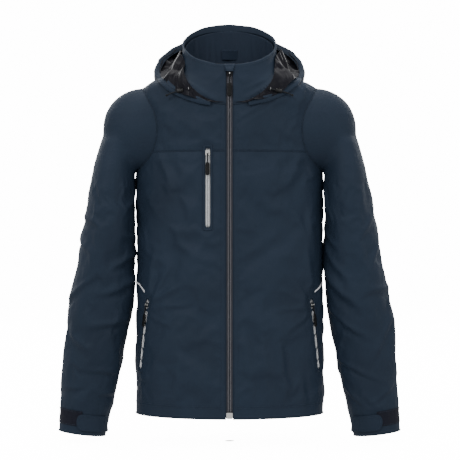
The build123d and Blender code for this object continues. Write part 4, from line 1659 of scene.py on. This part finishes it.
brim = hood_brim()
dress(brim, "shell")
brim_tree = tree_of(brim)
line = []
for a in HOOD_ANGLES:
    rim = hood_ring(0.0, a)
    seam = neck_seam_point(neck_angle(rim)) - rim
    flat = forward_of_body(rim + seam.normalized() * min(0.0095, 0.7 * seam.length), 0.009)
    back = hood_ring(0.0, a, 0.0098).lerp(hood_ring(1.0, a, 0.0098), 0.22)
    line.append(back.lerp(flat, ramp(-rim.y, -0.03, 0.03)))
brim_stitches = stitches("hood_brim_stitches", [lay_on(brim_tree, line, 0.0001)], out_of(brim_tree))
dress(brim_stitches, "thread")

for piece in (hood_outer, hood_inner, brim, brim_stitches):
    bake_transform(piece)
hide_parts("hood_shell", "hood_front_left", "hood_front_right")
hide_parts("hood_lining")


def neck_lining():
    """Lining on the shoulders between the collar's base and the hood's wall."""
    rows = []
    count = 26
    for p0, n0 in zip(NECK, neck_out):
        angle = math.atan2(p0.x, -(p0.y - 0.005))
        angle = angle % (2 * math.pi)
        angle = min(max(angle, HOOD_START), 2 * math.pi - HOOD_START)
        target = hood_cloth_point(0.0, angle, 0.0085, 0.0045)
        for level in np.linspace(0.1, 3.4, 60):
            q = hood_cloth_point(level, angle, 0.0070, 0.0045)
            if (q.z < 0.056 and body_gap(q)[0] < 0.0045) or in_barrel(q, 0.004):
                break
            target = q
        degrees = abs(neck_angle(p0))
        lifted = ramp(degrees, 46, 88)
        share = collar_place(p0)[0]
        high = collar_point(
            math.radians(neck_angle(p0)),
            min(0.86, share + 0.02 + (0.42 - 0.10 * ramp(degrees, 120, 180)) * lifted),
            0.0016,
        )
        start = (p0 + n0 * 0.0012 + Vector((0, 0, 0.004))).lerp(high, ramp(degrees, 40, 70))
        near_rim = hood_cloth_point(0.9, angle, 0.0090, 0.0045)
        target = target.lerp(near_rim, lifted)
        row = []
        for k in range(count):
            t = k / (count - 1)
            q = start.lerp(target, t)
            q.z -= lifted * 0.016 * math.sin(math.pi * t) ** 0.8
            row.append(push_out(q, 0.0022))
        rows.append(row)
    floor_cloth = grid_object("hood_neck_lining", rows)
    up = sum(poly.normal.z for poly in floor_cloth.data.polygons)
    if up < 0:
        floor_cloth.data.flip_normals()
    push(
        floor_cloth,
        lambda p: max(0.0, 0.0030 + 1.5 * lining_relief(p)) * ramp(math.hypot(p.x, p.y + 0.01), 0.085, 0.110),
    )
    subdivide(floor_cloth)
    thicken(floor_cloth, 0.0006, 1.0)
    smooth_shade(floor_cloth)
    dress(floor_cloth, "hood_lining", "torso")


neck_lining()
for x0 in (-0.052, 0.052):
    line = []
    for level in np.linspace(0.15, 5.4, 110):
        low, high = math.pi / 2, math.pi
        for _ in range(20):
            middle = (low + high) / 2
            if hood_ring(level, middle).x > abs(x0):
                low = middle
            else:
                high = middle
        p = hood_ring(level, low)
        line.append(Vector((math.copysign(p.x, x0), p.y, p.z)))
    side_name = "right" if x0 < 0 else "left"
    laid = lay_on(hood_tree, resample(line, 0.005), -0.0001)
    roll = tube(side_name + "_hood_seam_roll", laid, 0.0010, 6)
    rows = [
        lay_on(hood_tree, [p + Vector((s, 0, 0)) for p in resample(line, 0.006)], 0.0001)
        for s in (-0.0034, 0.0034)
    ]
    seam_threads = stitches(side_name + "_hood_seam_stitches", rows, out_of(hood_tree))
    for piece, material in ((roll, "seam"), (seam_threads, "thread")):
        dress(piece, material)
        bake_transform(piece)


# ---------------------------------------------------------------- zips
def strip(name, chain, low_x, high_x, low_y, high_y, z, thick, step=0.004, bow=0.0):
    """Narrow woven strip along a zip, between two distances from its middle."""
    rows = []
    for y in np.linspace(low_y, high_y, max(2, int((high_y - low_y) / step))):
        rows.append(
            [
                chain.at(low_x + (high_x - low_x) * u, y, z + bow * 4 * u * (1 - u))
                for u in np.linspace(0, 1, 7)
            ]
        )
    obj = grid_object(name, rows)
    if obj.data.polygons[0].normal.dot(chain.out) < 0:
        obj.data.flip_normals()
    thicken(obj, thick)
    smooth_shade(obj)
    return obj


def coil(name, chain, side, low_y, high_y, inner, outer, z, height, pitch):
    """One side of a zip's chain: a row of separate rounded turns."""
    verts, faces = [], []
    count = int((high_y - low_y) / pitch)
    for i in range(count):
        y = low_y + (i + (0.25 if side > 0 else 0.75)) * pitch
        start = len(verts)
        for u, grow, lean in (
            (0.0, 0.45, 0.0), (0.10, 1.0, 0.02), (0.55, 0.95, 0.12), (0.92, 0.8, 0.25), (1.0, 0.4, 0.28)
        ):
            x = inner + (outer - inner) * u
            for k in range(8):
                a = 2 * math.pi * k / 8
                verts.append(
                    chain.at(
                        side * x,
                        y + lean * pitch + 0.34 * pitch * grow * math.cos(a),
                        z + height / 2 + height / 2 * grow * math.sin(a),
                    )
                )
        for r in range(4):
            for k in range(8):
                m = (k + 1) % 8
                base = start + r * 8
                quad = (base + k, base + m, base + 8 + m, base + 8 + k)
                faces.append(quad if side < 0 else quad[::-1])
        ends = tuple(start + k for k in range(8)), tuple(start + 32 + k for k in range(8))
        faces.append(ends[0][::-1] if side < 0 else ends[0])
        faces.append(ends[1] if side < 0 else ends[1][::-1])
    obj = new_object(name, verts, faces)
    smooth_shade(obj)
    return obj


def join(name, *objects):
    """Several objects made into one mesh."""
    verts, faces = [], []
    for obj in objects:
        start = len(verts)
        verts += [v.co.copy() for v in obj.data.vertices]
        faces += [tuple(start + k for k in poly.vertices) for poly in obj.data.polygons]
    joined = new_object(name, verts, faces)
    smooth_shade(joined)
    discard(*objects)
    return joined


def make_pull(name, chain, body, cord_length, grip_length, grip_width, grip_thick):
    """Eye, knurled cord and moulded grip, hanging down along the zip."""
    s = chain.scale
    lift = (chain.pin - chain.zero).dot(chain.out)
    ring = []
    for a in np.linspace(0, 2 * math.pi, 25)[:-1]:
        ring.append([
            chain.at(
                (0.42 * s * math.sin(b)) * 0.001 * 2.4,
                0.0016 * s * math.cos(a) * (1 + 0.26 * math.cos(b)),
                lift + 0.0016 * s * math.sin(a) * (1 + 0.26 * math.cos(b)),
            )
            for b in np.linspace(0, 2 * math.pi, 9)[:-1]
        ])
    eye = grid_object(name + "_eye", ring + [ring[0]], wrap=True)
    rows = []
    start = -0.0014 * s
    for i in range(111):
        y = start - cord_length * i / 110
        row = []
        for k in range(12):
            a = 2 * math.pi * k / 12
            twist = 1 + 0.20 * math.cos(2 * a + 2 * math.pi * (i / 110) * cord_length / 0.0034)
            r = 0.00135 * twist
            row.append(chain.at(r * math.cos(a), y, lift + r * math.sin(a)))
        rows.append(row)
    cord_piece = loft_object(name + "_cord", rows)
    rows = []
    top = start - cord_length + 0.0018
    for i in range(65):
        t = i / 64
        end = math.sqrt(max(0.0, 1 - (2 * t - 1) ** 10))
        rib = 1 + (0.10 * math.cos(2 * math.pi * t * 9) if 0.24 < t < 0.86 else 0.02)
        waist = 1 - 0.10 * math.exp(-(((t - 0.14) / 0.08) ** 2))
        half_w = grip_width / 2 * (0.30 + 0.70 * end) * waist
        half_t = grip_thick / 2 * (0.35 + 0.65 * end) * rib
        row = []
        for k in range(24):
            a = 2 * math.pi * k / 24
            c, d = math.cos(a), math.sin(a)
            row.append(
                chain.at(
                    half_w * math.copysign(abs(c) ** 0.6, c),
                    top - grip_length * t,
                    lift + half_t * math.copysign(abs(d) ** 0.7, d),
                )
            )
        rows.append(row)
    grip = loft_object(name + "_grip", rows)
    smooth_shade(cord_piece)
    smooth_shade(grip)
    dress(eye, "metal", body)
    dress(cord_piece, "cord", body)
    dress(grip, "pull", body)
    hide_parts(name)


def tape_piece(name, material, node, obj):
    dress(obj, material, "torso")
    if node:
        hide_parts(node)


# main zip, closed, with its slider at the collar's top
for side, name in ((-1, "right"), (1, "left")):
    low, high = sorted((side * 0.0008, side * 0.0070))
    tape_piece(
        "",
        "main_tape",
        "main_tape_" + name,
        strip(
            "main_tape_" + name + "_woven",
            MAIN_ZIP,
            low,
            high,
            MAIN_ZIP.bottom,
            MAIN_ZIP.top,
            -0.0021,
            0.0008,
        ),
    )
    low, high = sorted((side * 0.0041, side * 0.0053))
    rib = strip(
        "main_zip_rib_" + name,
        MAIN_ZIP,
        low,
        high,
        MAIN_ZIP.bottom + 0.001,
        MAIN_ZIP.top - 0.001,
        -0.0021,
        0.0003,
        bow=0.0005,
    )
    dress(rib, "main_tape", "torso")
    tape_piece(
        "",
        "coil",
        "main_coil_" + name,
        coil(
            "main_coil_" + name + "_turns",
            MAIN_ZIP,
            side,
            MAIN_ZIP.bottom + 0.001,
            MAIN_ZIP.top - 0.0005,
            0.0006,
            0.0038,
            -0.0020,
            0.0017,
            0.0017,
        ),
    )

for chain, name in (
    (CHEST_ZIP, "chest"), (HAND_ZIPS["right"], "right_pocket"), (HAND_ZIPS["left"], "left_pocket")
):
    halves = []
    for side in (-1, 1):
        low, high = sorted((side * 0.0007, side * 0.0072))
        halves.append(
            strip("half", chain, low, high, chain.bottom - 0.003, chain.top + 0.003, -0.0019, 0.0007)
        )
    tape_piece("", "light_tape", name + "_zip_tapes", join(name + "_zip_tapes_woven", *halves))
    turns = [
        coil(
            "half",
            chain,
            side,
            chain.bottom + 0.001,
            chain.top - 0.001,
            0.0006,
            0.0033,
            -0.0018,
            0.0016,
            0.0015,
        )
        for side in (-1, 1)
    ]
    tape_piece("", "light_coil", name + "_zip_coils", join(name + "_zip_coil_turns", *turns))
    lips, threads = [], []
    for side in (-1, 1):
        low, high = sorted((side * SLOT_HALF, side * (SLOT_HALF + 0.0045)))
        rows = []
        for y in np.linspace(chain.bottom - SLOT_END - 0.004, chain.top + SLOT_END + 0.004, 60):
            line = lay_on(body_tree, [chain.at(low + (high - low) * u, y) for u in np.linspace(0, 1, 6)], 0.0)
            rows.append(
                [
                    p + chain.out * (0.0001 + 0.0011 * math.sqrt(max(0.0, 1 - (2 * u - 1) ** 2)))
                    for p, u in zip(line, np.linspace(0, 1, 6))
                ]
            )
        lip = grid_object("lip", rows)
        if lip.data.polygons[0].normal.dot(chain.out) < 0:
            lip.data.flip_normals()
        lips.append(lip)
        x = side * (SLOT_HALF + 0.0066)
        threads.append(
            lay_on(
                body_tree,
                [
                    chain.at(x, y)
                    for y in np.linspace(chain.bottom - SLOT_END - 0.006, chain.top + SLOT_END + 0.006, 60)
                ],
                0.0001,
            )
        )
    for y in (chain.bottom - SLOT_END - 0.003, chain.top + SLOT_END + 0.003):
        threads.append(
            lay_on(
                body_tree,
                [chain.at(x, y) for x in np.linspace(-SLOT_HALF - 0.0066, SLOT_HALF + 0.0066, 12)],
                0.0001,
            )
        )
        rows = []
        for v in np.linspace(-0.0022, 0.0022, 5):
            line = lay_on(
                body_tree,
                [chain.at(x, y + v) for x in np.linspace(-SLOT_HALF - 0.002, SLOT_HALF + 0.002, 10)],
                0.0,
            )
            rows.append(
                [p + chain.out * (0.0002 + 0.0009 * math.sqrt(max(0.0, 1 - (v / 0.0023) ** 2))) for p in line]
            )
        lip = grid_object("lip", rows)
        if lip.data.polygons[0].normal.dot(chain.out) < 0:
            lip.data.flip_normals()
        lips.append(lip)
    welt = join(name + "_welt", *lips)
    thicken(welt, 0.0008)
    smooth_shade(welt)
    dress(welt, "shell", "torso")
    dress(stitches(name + "_welt_stitches", threads, out_of(body_tree)), "thread", "torso")

make_pull("main_pull", MAIN_ZIP, "main_pull", 0.0205, 0.0285, 0.0085, 0.0038)
make_pull("chest_pull", CHEST_ZIP, "chest_pull", 0.0205, 0.0270, 0.0082, 0.0034)
for name in ("right", "left"):
    make_pull(name + "_pocket_pull", HAND_ZIPS[name], name + "_pocket_pull", 0.0205, 0.0270, 0.0082, 0.0034)

for node, material in (
    ("main_slider", "dark_metal"), ("chest_slider", "metal"), (
        "right_pocket_slider", "metal"
    ), ("left_pocket_slider", "metal"),
    ("zip_bottom_box", "metal"), ("right_hood_eyelet", "eyelet"), ("left_hood_eyelet", "eyelet"),
):
    dress_node(node, material)


def storm_flap():
    """Wide strip of shell cloth behind the main zip."""
    low, high = (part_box("storm_flap")[k] for k in (0, 1))
    rows = []
    for y in np.linspace(MAIN_ZIP.bottom - 0.009, MAIN_ZIP.top + 0.002, 150):
        row = []
        for u in np.linspace(-1, 1, 13):
            p = MAIN_ZIP.at(0.0275 * u, y, -0.0085 - 0.0009 * abs(u))
            row.append(p + MAIN_ZIP.out * 0.0006 * noise.noise(Vector((p.x * 30, 0, p.z * 24))))
        rows.append(row)
    flap = grid_object("storm_flap_cloth", rows)
    if flap.data.polygons[0].normal.dot(MAIN_ZIP.out) < 0:
        flap.data.flip_normals()
    thicken(flap, 0.0011)
    smooth_shade(flap)
    dress(flap, "shell", "torso")
    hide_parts("storm_flap")


storm_flap()


def garage():
    """Cloth fold over the top of the main zip."""
    rows = []
    profile = [(v, 0.0) for v in np.linspace(0.835, 0.985, 12)]
    profile += [
        (1.004, 0.0002), (1.016, 0.0016), (1.012, 0.0036), (0.985, 0.0052), (0.93, 0.0056), (0.86, 0.0058)
    ]
    for k, (share, inset) in enumerate(profile):
        row = []
        for u in np.linspace(-1, 1, 21):
            flare = 0.0088 + 0.0030 * ramp(share, 0.84, 1.0)
            x = flare * u
            level = share + (0.010 * u * u if k < 12 else 0)
            half = COLLAR_BASE[2] + level * (COLLAR_TOP[2] - COLLAR_BASE[2])
            p = collar_point(math.asin(x / half), level, -inset)
            bulge = 0.0046 * (1 - u * u) ** 0.5 * (1 - ramp(share, 0.86, 1.0)) + 0.0012 if k < 14 else 0.0
            ridge = 0.0009 * (math.exp(-(((abs(u) - 0.78) / 0.13) ** 2))) if k < 12 else 0.0
            row.append(p + Vector((0, -(bulge + ridge), 0)))
        rows.append(row)
    cover = grid_object("zip_garage_cloth", rows)
    if cover.data.polygons[10 + 20 * 3].normal.y > 0:
        cover.data.flip_normals()
    subdivide(cover)
    thicken(cover, 0.0009)
    smooth_shade(cover)
    dress(cover, "shell", "torso")
    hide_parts("zip_garage")
    rim = rows[0]
    dress(
        tube("zip_garage_edge", resample([p + Vector((0, -0.0003, 0)) for p in rim], 0.0015), 0.0008, 6),
        "shell",
        "torso",
    )


garage()


# ---------------------------------------------------------------- small parts
def ribbon(name, points, ups, width, thick):
    """Flat band along points, its width along ups."""
    rows = [[p + up * (width * u) for u in np.linspace(-0.5, 0.5, 6)] for p, up in zip(points, ups)]
    obj = grid_object(name, rows)
    thicken(obj, thick, 0.0)
    smooth_shade(obj)
    return obj


def hanger():
    low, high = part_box("hanger_loop")
    z = (low.z + high.z) / 2
    points = []
    for t in np.linspace(0, 1, 60):
        x = -0.030 + 0.060 * t
        drop = ramp(min(t, 1 - t), 0.0, 0.16)
        sag = 0.0040 * (1 - (2 * t - 1) ** 2)
        points.append(Vector((x, 0.0682 - 0.0072 * drop, z - sag)))
    band = ribbon("hanger_loop_webbing", points, [Vector((0, 0, 1))] * 60, 0.0068, 0.0013)
    dress(band, "webbing", "torso")
    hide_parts("hanger_loop")
    lines = []
    for x in (-0.0288, -0.0262, 0.0262, 0.0288):
        lines.append([Vector((x, 0.0672, z + dz)) for dz in (-0.0030, 0.0030)])
    dress(stitches("hanger_loop_stitches", lines, lambda p: Vector((0, -1, 0))), "thread", "torso")


hanger()


def size_label():
    low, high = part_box("size_label")
    rows = []
    for z in np.linspace(low.z, high.z, 16):
        row = []
        for x in np.linspace(low.x, high.x, 22):
            y = low.y - 0.0006 - 3.0 * x * x * 0.9 + 0.0010 * (1 - ramp(z, low.z, high.z)) * math.sin(x * 170)
            row.append(Vector((x, y, z)))
        rows.append(row)
    label = grid_object("size_label_cloth", rows)
    if label.data.polygons[0].normal.y > 0:
        label.data.flip_normals()
    thicken(label, 0.0004)
    smooth_shade(label)
    dress(label, "label", "torso")
    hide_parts("size_label")
    line = [
        Vector((x, low.y - 0.0008 - 2.7 * x * x, high.z - 0.0015))
        for x in np.linspace(low.x + 0.002, high.x - 0.002, 12)
    ]
    dress(stitches("size_label_stitches", [line], lambda p: Vector((0, -1, 0))), "thread", "torso")


size_label()


def corner_trims():
    """Short light bands that run back from the top of each hand pocket."""
    for side, name in SIDES:
        rows = []
        for t in np.linspace(0, 1, 26):
            x = 0.1788 + (0.1995 - 0.1788) * t
            z = -0.4245 + (-0.4045 + 0.4245) * t
            row = []
            for w in np.linspace(-0.5, 0.5, 5):
                p = torso_at(side * theta_of_x(x, z), z + w * 0.0042)
                row.append(lay_on(body_tree, [p], 0.0004)[0])
            rows.append(row)
        band = grid_object(name + "_corner_trim_band", rows)
        outward(band, (0, 0))
        thicken(band, 0.0005, 1.0)
        smooth_shade(band)
        dress(band, "trim", "torso")
        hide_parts(name + "_corner_trim")


corner_trims()


def hood_cords():
    """Elastic cord from each eyelet through its lock to a knot."""
    for side, name in SIDES:
        along = Vector((side * 0.95, 0.26, -0.2)).normalized()
        at = Vector((side * 0.103, -0.091, -0.003))
        route = [
            at - along * 0.0235,
            at - along * 0.014,
            at,
            at + along * 0.014,
            at + along * 0.0225 + Vector((0, -0.0005, -0.0006)),
            at + along * 0.0290 + Vector((0, -0.0002, -0.0028)),
        ]
        data = bpy.data.curves.new(name + "_hood_cord_line", "CURVE")
        data.dimensions = "3D"
        spline = data.splines.new("NURBS")
        spline.points.add(len(route) - 1)
        for point, place_at in zip(spline.points, route):
            point.co = (*place_at, 1)
        spline.order_u = 3
        spline.use_endpoint_u = True
        data.bevel_depth = 0.00125
        data.bevel_resolution = 3
        cord_object = bpy.data.objects.new(name + "_hood_cord_line", data)
        scene.collection.objects.link(cord_object)
        data.materials.append(MATERIALS["cord"])
        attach(cord_object, "torso")
        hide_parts(name + "_hood_cord")
        knot_at = route[-1] + along * 0.0012
        loops = []
        for t in np.linspace(0, 2 * math.pi, 60):
            r = 0.0017
            loops.append(
                knot_at
                + along * (0.0012 * math.sin(3 * t))
                + Vector((0, 0, 1)) * (r * math.cos(2 * t) * 0.8)
                + along.cross(Vector((0, 0, 1))) * (r * math.sin(2 * t) * 0.8)
            )
        knot = dress(tube(name + "_hood_cord_knot", loops, 0.0011, 8), "cord", "torso")
        rings = []
        side_way = along.cross(Vector((0, 0, 1))).normalized()
        up = side_way.cross(along)
        for t, r in (
            (-0.5, 0.0030),
            (-0.47, 0.0038),
            (-0.40, 0.0042),
            (-0.30, 0.0041),
            (-0.24, 0.0036),
            (-0.10, 0.0036),
            (0.10, 0.0036),
            (0.24, 0.0036),
            (0.30, 0.0041),
            (0.40, 0.0042),
            (0.47, 0.0038),
            (0.5, 0.0030),
        ):
            rings.append(
                [
                    at + along * (0.014 * t) + (side_way * math.cos(a) + up * math.sin(a)) * r
                    for a in np.linspace(0, 2 * math.pi, 25)[:-1]
                ]
            )
        for t, r in ((0.5, 0.00165), (-0.5, 0.00165)):
            rings.append(
                [
                    at + along * (0.014 * t) + (side_way * math.cos(a) + up * math.sin(a)) * r
                    for a in np.linspace(0, 2 * math.pi, 25)[:-1]
                ]
            )
        lock = grid_object(name + "_cord_lock_barrel", rings + [rings[0]], wrap=True)
        work = bmesh.new()
        work.from_mesh(lock.data)
        bmesh.ops.remove_doubles(work, verts=work.verts, dist=1e-7)
        bmesh.ops.recalc_face_normals(work, faces=work.faces)
        work.to_mesh(lock.data)
        work.free()
        smooth_shade(lock)
        subdivide(lock)
        smooth_shade(lock)
        dress(lock, "lock", name + "_cord_lock")
        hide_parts(name + "_cord_lock")
        rings = []
        for h, r in (
            (0.0030, 0.0019), (0.0046, 0.0019), (0.0054, 0.0017), (0.0057, 0.0012), (0.0058, 0.0004)
        ):
            rings.append(
                [
                    at + up * h + (along * math.cos(a) + side_way * math.sin(a)) * r
                    for a in np.linspace(0, 2 * math.pi, 19)[:-1]
                ]
            )
        button = loft_object(name + "_cord_lock_button", rings)
        smooth_shade(button)
        dress(button, "lock", name + "_cord_lock")


hood_cords()


# ---------------------------------------------------------------- inside
def body_linings():
    rows = body_rows(-0.642, 0.040, 60, 26, 0.030, -0.0088, 30, 50)
    lining = grid_object("body_lining_cloth", rows)
    outward(lining, (0, 0.01))
    push(
        lining,
        lambda p: 0.0020 * noise.noise(Vector((p.x * 18, p.y * 18, p.z * 9))) - 0.0010 * abs(
            noise.noise(Vector((p.x * 40, p.y * 40, p.z * 18)))
        ),
    )
    trim(lining, lambda p: in_barrel(p, -0.004))
    trim(lining, lambda p: p.z > neck_height_at(p) - 0.002 and math.hypot(p.x, p.y - NECK_CENTRE_Y) < 0.16)
    subdivide(lining)
    thicken(lining, 0.0007)
    smooth_shade(lining)
    dress(lining, "mesh", "torso")
    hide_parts("body_lining")
    rows = []
    for z in np.linspace(-0.6845, -0.648, 9):
        edge = theta_of_x(0.010, z)
        rows.append([torso_at(a, z, -0.0034) for a in np.linspace(edge, 2 * math.pi - edge, 150)])
    facing = grid_object("hem_facing_cloth", rows)
    outward(facing, (0, 0.01))
    thicken(facing, 0.0008)
    smooth_shade(facing)
    dress(facing, "shell", "torso")
    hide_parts("hem_facing")


body_linings()


def pocket_bags():
    """Flat mesh bags behind the chest and hand zips."""
    for node in ("chest_pocket_bag", "right_pocket_bag", "left_pocket_bag"):
        low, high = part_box(node)
        sheets = []
        for gap in (-0.0060, -0.0076):
            rows = []
            for z in np.linspace(low.z + 0.001, high.z - 0.001, 30):
                row = []
                for x in np.linspace(low.x + 0.001, high.x - 0.001, 22):
                    p = torso_at(theta_of_x(x, z), z, gap)
                    row.append(p + Vector((0, 0.0004 * noise.noise(Vector((x * 50, gap * 900, z * 50))), 0)))
                rows.append(row)
            sheets.append(grid_object("bag", rows))
            outward(sheets[-1], (0, 0.01))
        bag = join(node + "_cloth", *sheets)
        thicken(bag, 0.0005)
        smooth_shade(bag)
        dress(bag, "mesh", "torso")
        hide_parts(node)


pocket_bags()
